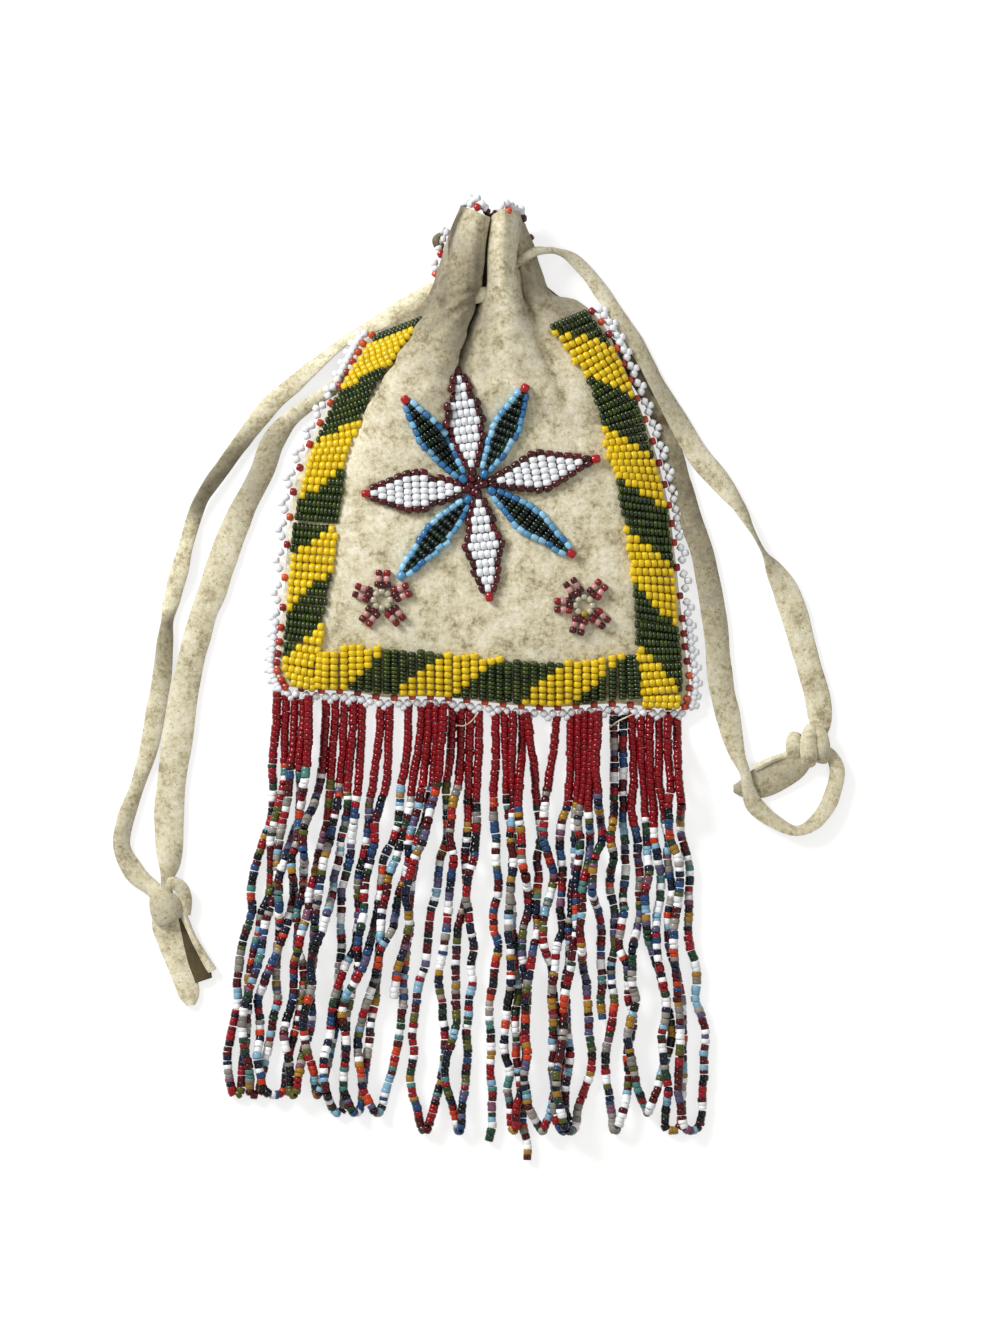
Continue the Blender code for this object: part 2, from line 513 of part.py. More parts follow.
def edge_beads(name, edge, near, far):
    """Beads that zigzag along a gathered edge, between two distances off it."""
    path = []
    for index, point in enumerate(edge):
        ahead = edge[min(index + 1, len(edge) - 1)] - edge[max(index - 1, 0)]
        away = Vector((-ahead.y, ahead.x, 0)).normalized()
        path.append(point + away * (near if index % 2 else far))
    return tube(name, path, PICOT_BEAD / 2, 4, WHITE_BEADS)


mouth_front = [front_top(ROWS, column / COLUMNS) for column in range(2, COLUMNS - 1)]
edge_beads("picots_mouth_front", mouth_front, SEAT + PICOT_BEAD / 2, PICOT_REACH * 0.6)

# The back's edging comes round the left side of the neck, where the back is drawn down
BACK_STEPS = 10
half_way = Vector((0, 0, HIDE / 2))
mouth_back = [back_top(ROWS, step / BACK_STEPS) - half_way for step in range(1, BACK_STEPS)]
corner = back_top(ROWS, 0) - half_way + Vector((-PICOT_BEAD * 0.6, PICOT_BEAD * 0.6, 0))
left_side = [p + Vector((-PICOT_BEAD * 0.6, 0, table_lift(p.y))) + half_way for p in left_seam
             if BACK_EDGE_FROM * ALONG * MM < p.y < corner.y - PICOT_BEAD]
edge_beads("picots_mouth_back", left_side + [corner] + mouth_back, SEAT + PICOT_BEAD / 2, PICOT_REACH * 0.6)

# Fringe strands share their distances down the bag, so each is laid over the ones before it
fringe_top = min(p.y for p in bottom_edge) - FRINGE_BEAD
laid = []


def strand_line(top_x, tip_x, tip_y, number):
    """Strand in plan: it drifts from its top to its tip and sways a little."""
    count = round((fringe_top - tip_y) / FRINGE_STEP)
    line = []
    for index in range(count + 1):
        y = fringe_top - index * FRINGE_STEP
        t = index / count
        sway = FRINGE_SWAY * math.sin(number * 2.4 + index * 0.9) * math.sin(math.pi * t)**2
        line.append(Vector((top_x + (tip_x - top_x) * ease(t) ** 0.9 + sway, y, 0.0)))
    return line


def hem(line):
    """Top of a strand where the hide's bottom edge is, just clear of it."""
    x = line[0].x
    across = (x - left_seam[0].x) / (right_seam[0].x - left_seam[0].x)
    return Vector((x, panel_place(0, across).y - SEAT, line[0].z))


def lay(line):
    """Height of a strand, so that it clears the strands laid before it all along."""
    clear = FRINGE_BEAD + SEAT
    parts = 6
    needed = [[FRINGE_BEAD / 2] * (parts + 1) for _ in line[1:]]
    for index in range(len(line) - 1):
        for part in range(parts + 1):
            t = part / parts
            x = line[index].x + (line[index + 1].x - line[index].x) * t
            for other in laid:
                if index + 1 >= len(other):
                    continue
                other_x = other[index].x + (other[index + 1].x - other[index].x) * t
                other_z = other[index].z + (other[index + 1].z - other[index].z) * t
                gap = abs(x - other_x)
                if gap < clear:
                    over = other_z + math.sqrt(clear**2 - gap**2)
                    needed[index][part] = max(needed[index][part], over)
    for index, point in enumerate(line):
        around = needed[max(index - 1, 0)] + needed[min(index, len(needed) - 1)]
        point.z = max(around)
    laid.append(line)
    return line


counts = {"loop": 0, "strand": 0}
for strand, (first, *rest, tip_x, tip_y) in enumerate(sorted(FRINGE_LOOPS + FRINGE_SINGLES)):
    kind = "loop" if rest else "strand"
    counts[kind] += 1
    half = (FRINGE_BEAD + SEAT) / 2 + 0.1 * MM if rest else 0.0
    top, tip = metres([(first, 0), (tip_x, tip_y)])
    path = lay(strand_line(top.x, tip.x - half, tip.y, strand))
    path = [hem(path)] + path
    if rest:
        up = lay(strand_line(rest[0] * ACROSS * MM, tip.x + half, tip.y, strand))
        path = path + [(path[-1] + up[-1]) / 2 - Vector((0, half, 0))] + up[::-1] + [hem(up)]
    tube(f"fringe_{kind}_{counts[kind]:02d}", path, FRINGE_BEAD / 2, 5, MAROON_BEADS)


def strip(name, route):
    """Length of flat thong along a route whose points carry their own width."""
    path = smooth_run(metres([point[:3] for point in route]), round(1.4 * len(route)))
    widths = smooth_run([Vector((point[3] * MM, 0)) for point in route], round(1.4 * len(route)))
    build = bmesh.new()
    rings = []
    for index, point in enumerate(path):
        ahead = path[min(index + 1, len(path) - 1)] - path[max(index - 1, 0)]
        side = Vector((ahead.y, -ahead.x, 0)).normalized() * widths[index].x / 2
        under = Vector((point.x, point.y, max(point.z, 0.0)))
        over = Vector((0, 0, THONG))
        rings.append([build.verts.new(under + side * s + over * o) for s, o in ((-1, 0), (1, 0), (1, 1), (-1, 1))])
    for first, second in zip(rings, rings[1:]):
        for k in range(4):
            build.faces.new((first[k], first[(k + 1) % 4], second[(k + 1) % 4], second[k]))
    build.faces.new(rings[0])
    build.faces.new(rings[-1][::-1])
    return add_mesh(name, build, THONG_HIDE)


def joined(target, piece):
    """Fuse a piece into its target, and keep it only as the guide of that union."""
    union = target.modifiers.new(piece.name, "BOOLEAN")
    union.operation = "UNION"
    union.solver = "EXACT"
    union.use_self = True
    union.object = piece
    piece.hide_render = True
    piece.display_type = "WIRE"


def drawstring(name, route, knot_at, tails):
    """Thong threaded behind the neck, with its two ends tied in one knot."""
    made = strip(name, route)
    build = bmesh.new()
    bmesh.ops.create_uvsphere(build, u_segments=10, v_segments=6, radius=1.0)
    bmesh.ops.scale(build, vec=KNOT_SIZE, verts=build.verts)
    centre = metres([knot_at])[0] + Vector((0, 0, KNOT_SIZE[2] + SEAT / 3))
    bmesh.ops.translate(build, vec=centre, verts=build.verts)
    joined(made, add_mesh(f"{name}_knot", build, THONG_HIDE))
    for number, tail in enumerate(tails, 1):
        joined(made, strip(f"{name}_tail_{number}", tail))


drawstring("drawstring_left", LEFT_THONG, LEFT_KNOT, LEFT_TAILS)
drawstring("drawstring_right", RIGHT_THONG, RIGHT_KNOT, RIGHT_TAILS)
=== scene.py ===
"""Beaded hide dice bag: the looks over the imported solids, lying flat and seen from above."""

import math
import random

import bmesh
import bpy
from mathutils import Matrix, Vector, noise
from mathutils.bvhtree import BVHTree


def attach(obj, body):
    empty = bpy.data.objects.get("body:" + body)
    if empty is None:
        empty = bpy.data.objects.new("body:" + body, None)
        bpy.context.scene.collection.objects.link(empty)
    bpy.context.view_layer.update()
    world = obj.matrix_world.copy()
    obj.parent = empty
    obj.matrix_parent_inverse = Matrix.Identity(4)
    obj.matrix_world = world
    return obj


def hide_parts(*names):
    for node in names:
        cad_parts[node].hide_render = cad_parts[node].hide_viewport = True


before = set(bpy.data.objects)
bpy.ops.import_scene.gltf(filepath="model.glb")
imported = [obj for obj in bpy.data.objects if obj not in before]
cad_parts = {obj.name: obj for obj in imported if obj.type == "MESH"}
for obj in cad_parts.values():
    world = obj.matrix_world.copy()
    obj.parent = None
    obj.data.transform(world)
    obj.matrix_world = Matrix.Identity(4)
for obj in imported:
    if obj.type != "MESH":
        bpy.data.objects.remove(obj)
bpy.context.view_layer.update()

# Table, light and camera

# The bag lies on a plain white table under soft daylight from the upper left. The camera
# looks straight down on it, as a flat lay is photographed.

MM = 0.001
PHOTO_WIDTH, PHOTO_HEIGHT = 1000, 1333
PIXEL = 0.28 * MM                      # one pixel of the photograph on the table
ORIGIN_PIXEL = (484, 520)              # where the bag's own origin is in the photograph
CAMERA_HEIGHT = 2400 * MM
FILM = 36.0                            # height of the camera's sensor
TABLE_DROP = 0.2 * MM                  # the table is this far under the bag
TABLE_GLOW, SKY = 0.7, 0.44            # strength of the table's own glow and of the sky
# Name, place, size and power of each lamp
LAMPS = (("window", (-0.9, 0.75, 0.74), 0.45, 19.5), ("reflector", (0.85, -0.35, 0.9), 0.9, 2.0))


def linear(hex_colour):
    """Linear colour with alpha from an sRGB hex value."""
    channels = [int(hex_colour[i:i + 2], 16) / 255 for i in (1, 3, 5)]
    return (*[c / 12.92 if c <= 0.04045 else ((c + 0.055) / 1.055) ** 2.4 for c in channels], 1.0)


def add_node(tree, kind, inputs=None, **settings):
    """One shader node with its values, its links and its settings."""
    made = tree.nodes.new("ShaderNode" + kind)
    for name, value in settings.items():
        setattr(made, name, value)
    for name, value in (inputs or {}).items():
        if isinstance(value, bpy.types.NodeSocket):
            tree.links.new(value, made.inputs[name])
        else:
            made.inputs[name].default_value = value
    return made


def new_material(name):
    """Empty node material and its tree."""
    made = bpy.data.materials.new(name)
    made.use_nodes = True
    made.node_tree.nodes.clear()
    return made, made.node_tree


def new_mesh(name, build):
    """Mesh from a finished build, which is freed."""
    made = bpy.data.meshes.new(name)
    build.to_mesh(made)
    build.free()
    return made


def add_object(name, data):
    made = bpy.data.objects.new(name, data)
    bpy.context.collection.objects.link(made)
    return made


camera_data = bpy.data.cameras.new("camera")
camera_data.sensor_fit = "VERTICAL"
camera_data.sensor_height = FILM
camera_data.lens = FILM * CAMERA_HEIGHT / (PHOTO_HEIGHT * PIXEL)
camera_data.clip_end = 10.0
camera = add_object("camera", camera_data)
camera.location = ((PHOTO_WIDTH / 2 - ORIGIN_PIXEL[0]) * PIXEL,
                   (ORIGIN_PIXEL[1] - PHOTO_HEIGHT / 2) * PIXEL, CAMERA_HEIGHT)
bpy.context.scene.camera = camera
bpy.context.scene.view_settings.view_transform = "Standard"

# White table: its own glow keeps it white to the eye, and the bag still shades it
table_paint, tree = new_material("matt_white_table")
rays = add_node(tree, "LightPath").outputs
seen = add_node(tree, "Math", {0: rays["Is Camera Ray"], 1: rays["Is Glossy Ray"]}, operation="MAXIMUM")
seen = add_node(tree, "Math", {0: seen.outputs[0], 1: rays["Is Transmission Ray"]}, operation="MAXIMUM")
glow = add_node(tree, "Math", {0: seen.outputs[0], 1: TABLE_GLOW}, operation="MULTIPLY")
paint = add_node(tree, "BsdfDiffuse", {"Color": linear("#B2B2B2")})
shine = add_node(tree, "Emission", {"Strength": glow.outputs[0]})
both = add_node(tree, "AddShader", {0: paint.outputs[0], 1: shine.outputs[0]})
add_node(tree, "OutputMaterial", {"Surface": both.outputs[0]})

build = bmesh.new()
bmesh.ops.create_grid(build, x_segments=1, y_segments=1, size=3.0)
bmesh.ops.translate(build, vec=(0, 0, -TABLE_DROP), verts=build.verts)
table = add_object("table", new_mesh("table", build))
table.data.materials.append(table_paint)

world = bpy.data.worlds.new("daylight")
bpy.context.scene.world = world
world.use_nodes = True
sky = world.node_tree.nodes["Background"]
sky.inputs["Color"].default_value = linear("#FFFDF9")
sky.inputs["Strength"].default_value = SKY

for lamp_name, lamp_place, lamp_size, lamp_power in LAMPS:
    lamp_data = bpy.data.lights.new(lamp_name, "AREA")
    lamp_data.size = lamp_size
    lamp_data.energy = lamp_power
    lamp = add_object(lamp_name, lamp_data)
    lamp.location = lamp_place
    to_bag = Vector((0, -0.03, 0)) - Vector(lamp_place)
    lamp.rotation_euler = to_bag.to_track_quat("-Z", "Y").to_euler()

# Thongs

# Two flat thongs cut from brain-tanned buckskin, each threaded round the neck with its two
# ends tied in one overhand knot. They curl and turn over where they were pulled tight.

THONG = 1.2 * MM
THONG_CURL = 0.7 * MM                  # how far its middle stands over its edges
THONG_WOBBLE = 0.35 * MM               # its edges were cut by eye


def metres(points):
    """Points in millimetres, flat ones too, as vectors."""
    return [Vector([value * MM for value in (*point, 0)[:3]]) for point in points]


def smooth_point(points, along):
    """Point of a smooth curve through the given ones; along counts from 0 at the first."""
    last = len(points) - 1
    index = min(int(along), last - 1)
    t = along - index
    a = points[max(index - 1, 0)]
    b, c = points[index], points[index + 1]
    d = points[min(index + 2, last)]
    return 0.5 * (2 * b + (c - a) * t + (2 * a - 5 * b + 4 * c - d) * t**2
                  + (3 * b - a - 3 * c + d) * t**3)


def buckskin(name, light, middle, dark, speck, speck_share, nap):
    """Brain-tanned buckskin: mottled cream with a suede nap, dark specks, and handling dirt with painted
    shade.

    Dirt and painted shade follow the piece's own darkening attribute where it has one.
    """
    made, tree = new_material(name)
    place = add_node(tree, "TexCoord").outputs["Object"]

    def grain(size, detail, roughness):
        return add_node(tree, "TexNoise", {"Vector": place, "Scale": 1 / (size * MM), "Detail": detail,
                                           "Roughness": roughness}).outputs["Fac"]

    # Smoke and handling leave clouds of 5 mm, and the grain shows as patches of about 1 mm
    clouds = grain(5.2, 5.0, 0.6)
    mixed = add_node(tree, "Mix", {0: 0.42, 2: clouds, 3: grain(1.2, 3.0, 0.7)}, data_type="FLOAT")
    tones = add_node(tree, "ValToRGB", {"Fac": mixed.outputs[0]})
    ramp = tones.color_ramp
    ramp.elements[0].position, ramp.elements[0].color = 0.36, linear(dark)
    ramp.elements[1].position, ramp.elements[1].color = 0.61, linear(light)
    ramp.elements.new(0.48).color = linear(middle)
    dots = add_node(tree, "MapRange",
                    {"Value": grain(0.75, 2.0, 0.55), "From Min": 0.62, "From Max": 0.70,
                     "To Min": 0.0, "To Max": speck_share}, interpolation_type="SMOOTHSTEP")
    colour = add_node(tree, "Mix", {0: dots.outputs[0], 6: tones.outputs["Color"], 7: linear(speck)},
                      data_type="RGBA")
    # Creases stand higher than the fuzz of the nap
    height = add_node(tree, "Math", {0: grain(4.5, 3.0, 0.5), 1: 2.2, 2: grain(0.35, 3.0, 0.7)},
                      operation="MULTIPLY_ADD")
    bump = add_node(tree, "Bump", {"Strength": 0.85, "Distance": nap, "Height": height.outputs[0]})
    # Dirt and painted shade: a per-vertex attribute darkens the colour towards dark brown, broken up by
    # the clouds
    painted_shade_and_dirt = add_node(tree, "Attribute", attribute_name="painted_shade_and_dirt")
    shade_and_dirt_amount = add_node(tree, "Math", {0: painted_shade_and_dirt.outputs["Fac"], 1: clouds}, operation="MULTIPLY")
    shaded_and_dirtied = add_node(tree, "Mix", {0: shade_and_dirt_amount.outputs[0], 6: colour.outputs[2], 7: linear("#5B4F38")},
                     data_type="RGBA", blend_type="MULTIPLY")
    skin = add_node(tree, "BsdfPrincipled",
                    {"Base Color": shaded_and_dirtied.outputs[2], "Normal": bump.outputs[0], "Roughness": 0.92,
                     "Specular IOR Level": 0.22, "Sheen Weight": 0.25, "Sheen Roughness": 0.6})
    add_node(tree, "OutputMaterial", {"Surface": skin.outputs[0]})
    return made


thong_skin = buckskin("brain_tanned_thong", "#F8F1D8", "#DFD6B4", "#A69A78", "#5E5238",
                      0.55, 0.2 * MM)


def add_piece(name, build, look, nodes):
    """Finished mesh as a piece of the bag, in the place of its CAD nodes."""
    made = add_object(name, new_mesh(name, build))
    made.data.shade_smooth()
    made.data.materials.append(look)
    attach(made, "root")
    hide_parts(*nodes)
    return made


def cut_thong(build, route, steps_per_point=5):
    """Flat thong laid along a route of (across, along, underside, width, turn) stations.

    turn is how far the thong is rolled on its length, in degrees, and left out where it lies
    flat. Returns its centre line.
    """
    grid = bmesh.new()
    rows = (len(route) - 1) * steps_per_point
    bmesh.ops.create_grid(grid, x_segments=rows, y_segments=6, size=0.5)
    stations = [Vector([value * MM for value in station[:4]]) for station in route]
    turns = [Vector(((*station, 0)[4], 0)) for station in route]
    last = len(route) - 1

    def frame_at(along):
        station = smooth_point(stations, along)
        turn = math.radians(smooth_point(turns, along)[0])
        before = smooth_point(stations, max(along - 0.1, 0))
        after = smooth_point(stations, min(along + 0.1, last))
        ahead = (after - before).to_3d().normalized()
        side = Vector((ahead.y, -ahead.x, 0)).normalized()
        up = side.cross(ahead) * -1 if side.cross(ahead).z < 0 else side.cross(ahead)
        lean = side * math.cos(turn) + up * math.sin(turn)
        face = up * math.cos(turn) - side * math.sin(turn)
        width = station[3]
        lift = abs(math.sin(turn)) * width / 2 + THONG
        return station.to_3d() + Vector((0, 0, lift)), lean, face, width

    for vert in grid.verts:
        along = min(max((vert.co.x + 0.5) * last, 0), last)
        place, lean, face, width = frame_at(along)
        across = vert.co.y * 2
        wobble = noise.noise(Vector((place.x * 160, place.y * 160, across * 0.6))) * THONG_WOBBLE
        vert.co = place + lean * (across * width / 2 + wobble) + face * ((1 - across**2) * THONG_CURL)
    bmesh.ops.solidify(grid, geom=grid.faces[:], thickness=THONG)
    bmesh.ops.recalc_face_normals(grid, faces=grid.faces)
    strip = new_mesh("strip", grid)
    build.from_mesh(strip)
    bpy.data.meshes.remove(strip)
    return [frame_at(last * step / rows)[0] for step in range(rows + 1)]


def wear_edges(made, width):
    """Cut edges that wear has rounded."""
    soften = made.modifiers.new("worn_edges", "BEVEL")
    soften.width = width
    soften.segments = 2
    soften.limit_method = "ANGLE"


def run_length(points):
    return sum((b - a).length for a, b in zip(points, points[1:]))


def add_thong(name, route, node, darkening):
    """One strand of a drawstring, a flat cord that ends in its knot.

    The last argument lists how far dirt and painted shade darken the side that shows, at distances up
    the bag, from the top down; the painted shade falls where the thong turns from the light or lies in
    shadow.
    """
    build = bmesh.new()
    line = cut_thong(build, route)
    made = add_piece(name, build, thong_skin, [node])
    painted_shade_and_dirt = made.data.attributes.new("painted_shade_and_dirt", "FLOAT", "POINT")
    for vert, darkness in zip(made.data.vertices, painted_shade_and_dirt.data):
        y = vert.co.y / MM
        above = [band for band in darkening if band[0] >= y] or darkening[:1]
        below = [band for band in darkening if band[0] < y] or darkening[-1:]
        t = (above[-1][0] - y) / max(above[-1][0] - below[0][0], 0.1)
        darkness.value = above[-1][1] + (below[0][1] - above[-1][1]) * min(max(t, 0.0), 1.0)
    wear_edges(made, 0.28 * MM)


# Routes from the neck down to the knots
LEFT_OUTER = [
    (-12.0, 64.4, 0, 5.0), (-17.6, 62.4, 0.2, 5.2, -15), (-25.0, 57.6, 0, 5.6, -25),
    (-33.2, 53.1, 0, 4.2, -35), (-38.9, 50.0, 0, 3.6, -40), (-44.4, 45.6, 0, 4.0, -35),
    (-49.6, 41.2, 0, 4.8, -20), (-60.0, 31.8, 0, 5.4), (-69.2, 20.0, 0, 4.8, 25),
    (-76.0, 10.6, 0, 5.2, 35), (-79.6, 4.8, 0, 4.6, 35), (-82.8, -4.6, 0, 4.2, -10),
    (-85.0, -13.6, 0, 5.0, -15), (-87.4, -22.0, 0, 4.8), (-88.6, -27.6, 0, 4.0, 30),
    (-89.2, -34.0, 0, 5.2, 25), (-90.2, -44.0, 0, 5.4, 10), (-91.6, -52.0, 0, 5.6),
    (-93.4, -62.6, 0, 5.2), (-97.2, -75.0, 0, 4.2, 15), (-100.4, -84.0, 0, 5.4, 25),
    (-101.4, -91.6, 0, 5.2, 20), (-97.8, -98.8, 0, 5.4), (-93.0, -103.0, 0.4, 4.6),
    (-89.4, -106.0, 1.2, 4.2),
]
LEFT_INNER = [
    (-12.0, 64.4, 0, 5.0), (-2.0, 65.0, 0, 5.0), (3.4, 62.8, 0, 4.8), (3.8, 59.4, 0, 4.8),
    (-1.0, 57.2, 0, 5.0), (-12.0, 54.8, 0, 5.0), (-24.0, 48.6, 0, 4.6), (-34.0, 41.8, 0, 4.2),
    (-41.8, 36.9, 0, 3.8, 10), (-48.6, 32.6, 0, 3.8, 15), (-54.6, 28.0, 0, 5.0, 12),
    (-59.4, 21.2, 0, 6.4, 10), (-62.4, 12.8, 0, 6.8, 15), (-66.8, 4.4, 0, 7.0, 12),
    (-72.0, -7.8, 0, 7.8), (-76.0, -19.6, 0, 8.0), (-79.0, -28.4, 0, 7.6), (-82.0, -39.6, 0, 7.6, 8),
    (-84.4, -51.6, 0, 8.2), (-86.4, -65.4, 0, 8.2), (-88.0, -78.0, 0, 8.0), (-88.2, -88.0, 0, 8.2),
    (-88.0, -96.0, 0, 6.6, 20), (-88.8, -101.6, 0.4, 3.8, 40), (-88.4, -105.4, 1.2, 3.8, 20),
]
RIGHT_OUTER = [
    (8.6, 71.0, 7.6, 2.2), (11.4, 73.2, 8.4, 2.6, 10), (14.2, 74.8, 6.8, 3.0, 20),
    (17.2, 75.2, 5.0, 2.6, 30), (20.4, 75.0, 3.2, 2.6, 30), (24.6, 73.2, 1.2, 3.4, 20),
    (29.2, 68.8, 0.2, 4.2, 15), (33.6, 62.8, 0, 4.6, 20), (37.4, 57.0, 0, 4.8, 25),
    (42.0, 49.8, 0, 5.2, 15), (47.6, 39.6, 0, 4.8, 25), (53.2, 29.6, 0, 5.6, 10), (59.6, 18.6, 0, 6.4),
    (67.0, 9.6, 0, 5.8, 15), (72.0, 2.8, 0, 4.6, 40), (77.2, -7.4, 0, 3.4, 75),
    (81.6, -14.6, 0, 5.8, 20), (85.4, -22.0, 0, 7.4), (88.0, -30.6, 0, 7.4), (91.0, -41.0, 0, 6.8),
    (93.6, -51.0, 0, 7.2), (94.0, -57.6, 0.4, 6.0), (91.6, -62.4, 1.4, 4.6),
]
RIGHT_INNER = [
    (9.0, 77.4, 0, 4.0), (4.0, 77.6, 0, 4.8), (-1.4, 76.6, 0, 4.8), (-2.6, 73.8, 0, 4.8),
    (1.0, 71.4, 0, 4.8), (9.0, 69.4, 0, 4.8), (17.0, 62.4, 0, 5.0), (25.6, 56.0, 0, 5.0),
    (34.4, 48.8, 0, 5.0), (42.6, 41.0, 0, 5.6), (48.6, 31.6, 0, 6.0), (51.8, 21.6, 0, 6.2),
    (54.6, 11.0, 0, 6.4, 8), (57.8, 0.4, 0, 6.6, 12), (61.2, -9.6, 0, 6.8, 15),
    (63.2, -20.0, 0, 7.0, 12), (65.0, -32.0, 0, 7.0, 15), (66.2, -45.8, 0, 7.2, 12),
    (68.8, -57.1, 0, 6.4), (70.7, -64.7, 0.8, 4.6), (73.0, -70.3, 1.7, 3.0), (73.9, -74.6, 1.9, 3.4),
    (75.8, -80.0, 1.0, 5.2), (80.9, -84.2, 0.2, 4.4, 20), (87.3, -87.0, 0, 3.8, 40),
    (92.6, -84.6, 0, 4.6, 30), (96.6, -79.2, 0, 4.6, 20), (98.9, -71.4, 0, 4.2, 20),
    (97.6, -66.6, 0.4, 3.4, 10), (94.6, -64.0, 1.4, 3.4),
]
# Each turn of a knot as a route, with how far dirt and painted shade darken its side that shows
LEFT_KNOT = [
    ([(-90.2, -104.4, 1.0, 3.4), (-87.6, -101.6, 2.2, 3.6), (-84.8, -102.8, 2.2, 3.6),
      (-83.6, -106.2, 1.6, 3.6), (-84.0, -110.4, 1.0, 3.8)], 0.5),
    ([(-92.8, -109.3, 0.8, 7.0), (-91.8, -109.1, 2.6, 8.4), (-89.6, -108.7, 3.4, 8.8),
      (-87.0, -108.2, 3.2, 8.0), (-85.2, -107.6, 1.8, 6.4)], 0.7),
    ([(-89.0, -108.0, 1.4, 7.0), (-88.6, -113.4, 0.8, 8.4), (-87.2, -118.0, 0.2, 8.0),
      (-85.4, -123.2, 0, 7.4), (-83.4, -129.4, 0, 6.6), (-82.3, -133.2, 0, 5.4),
      (-81.9, -135.8, 0, 2.4)], 0.1),
    # This turn lies in the shadow of the tail above it: its darkening is painted shadow
    ([(-85.6, -110.0, 0.8, 3.6), (-83.4, -116.0, 0, 4.8), (-81.0, -122.4, 0, 6.6),
      (-78.8, -129.0, 0, 5.4)], 2.6),
    ([(-84.4, -109.8, 1.2, 2.0), (-81.6, -116.2, 1.0, 2.0), (-78.8, -121.4, 0.9, 2.2),
      (-76.0, -126.2, 0.6, 2.2)], 0.2),
]
RIGHT_KNOT = [
    ([(87.4, -59.8, 0.4, 3.2), (86.9, -61.8, 2.4, 4.4), (86.8, -64.4, 2.6, 4.6),
      (87.6, -66.8, 0.6, 3.6)], 0.2),
    ([(93.0, -57.8, 0.6, 3.2), (94.4, -60.6, 2.6, 4.0), (94.8, -64.6, 2.8, 4.2),
      (94.2, -67.8, 0.8, 3.4)], 0.6),
    ([(91.8, -57.6, 0.8, 3.2), (91.0, -60.4, 3.0, 4.4), (90.8, -64.6, 3.4, 4.8),
      (90.9, -67.6, 2.2, 4.2), (91.0, -68.8, 0.6, 3.2)], 0.2),
    ([(89.6, -65.4, 1.4, 6.0), (86.4, -68.6, 0.5, 8.4), (82.0, -71.6, 0, 9.0),
      (77.0, -73.8, 0, 8.6), (73.0, -75.0, 0, 5.6), (69.8, -75.2, 0, 1.8)], 0.9),
    ([(88.0, -65.2, 0.6, 1.8), (84.4, -65.9, 0.8, 2.0), (80.6, -67.1, 0.7, 2.0),
      (75.6, -69.5, 0.4, 1.8)], 0.1),
]


def add_knot(name, wraps, node):
    """Knot and tails: the same thong wound over itself, each turn lying on the one below."""
    build = bmesh.new()
    darkening = []
    for route, darkness in wraps:
        cut_thong(build, route, 8)
        # Every vertex of a turn takes that turn's dirt and painted shade
        darkening += [darkness] * (len(build.verts) - len(darkening))
    made = add_piece(name, build, thong_skin, [node])
    made.data.attributes.new("painted_shade_and_dirt", "FLOAT", "POINT").data.foreach_set("value", darkening)
    wear_edges(made, 0.3 * MM)
    return made


# Between the two rolls of the neck the left thong shows for one stitch
BIGHT = [
    ([(-4.6, 61.6, 10.4, 3.6), (-2.4, 62.2, 11.8, 4.2), (-0.4, 62.6, 12.0, 4.2),
      (2.4, 62.4, 10.8, 3.6)], 0.1),
]
# A small hard knot of hide sits among the beads at the left of the back's rim
RIM_KNOT = [
    ([(-11.4, 76.4, 1.6, 1.8), (-12.8, 76.9, 2.2, 2.2), (-13.2, 78.4, 2.4, 2.2),
      (-11.8, 79.6, 1.8, 1.8)], 1.5),
]

left_knot = add_knot("drawstring_left_knot", LEFT_KNOT, "drawstring_left")
add_knot("drawstring_left_bight", BIGHT, "drawstring_left")
add_knot("back_rim_knot", RIM_KNOT, "back_panel")
right_knot = add_knot("drawstring_right_knot", RIGHT_KNOT, "drawstring_right")
# Their last lists darken the strands with painted shade where they turn from the light or lie in the
# neck's shadow, and with dirt, most on the right inner strand
add_thong("drawstring_left_outer", LEFT_OUTER, "drawstring_left",
          [(70, 0.0), (28, 0.2), (19, 1.3), (3, 1.3), (-1, 0.1), (-25, 0.1), (-28, 1.2),
           (-37, 0.9), (-50, 0.3), (-110, 0.3)])
add_thong("drawstring_left_inner", LEFT_INNER, "drawstring_left",
          [(40, 0.1), (30, 0.2), (24, 0.9), (8, 0.8), (-2, 0.2), (-110, 0.3)])
add_thong("drawstring_right_outer", RIGHT_OUTER, "drawstring_right",
          [(80, 0.4), (60, 0.2), (48, 0.8), (30, 0.9), (20, 0.3), (0, 0.3), (-7, 0.9),
           (-16, 0.2), (-60, 0.2)])
add_thong("drawstring_right_inner", RIGHT_INNER, "drawstring_right",
          [(60, 1.6), (20, 1.6), (-15, 1.1), (-45, 0.4), (-90, 0.5)])

# Hide panels

# Front and back are cut from one weight of brain-tanned buckskin and sewn together at the
# sides and bottom. The neck is gathered, and the front stands up there in two soft rolls.

HIDE = 1.2 * MM
SEAT = 0.3 * MM                        # how far apart the two hides lie
LEFT_SEAM = [(-55.6, -46.6), (-57.8, -41.5), (-57.3, -35.5), (-56.2, -25.0), (-54.8, -5.0),
             (-52.4, 11.5), (-46.2, 26.2), (-39.6, 38.0), (-35.8, 45.4), (-32.0, 51.0), (-22.0, 56.6),
             (-15.8, 62.6), (-12.6, 71.0), (-9.8, 80.0), (-6.4, 88.0)]
RIGHT_SEAM = [(56.2, -52.2), (57.4, -45.6), (56.2, -36.0), (55.2, -26.0), (53.2, -8.0),
              (51.4, 5.0), (47.8, 19.5), (42.6, 34.0), (37.8, 45.6), (33.0, 55.0), (26.2, 61.2),
              (19.0, 63.4), (15.6, 71.0), (12.8, 79.4), (10.2, 85.6)]
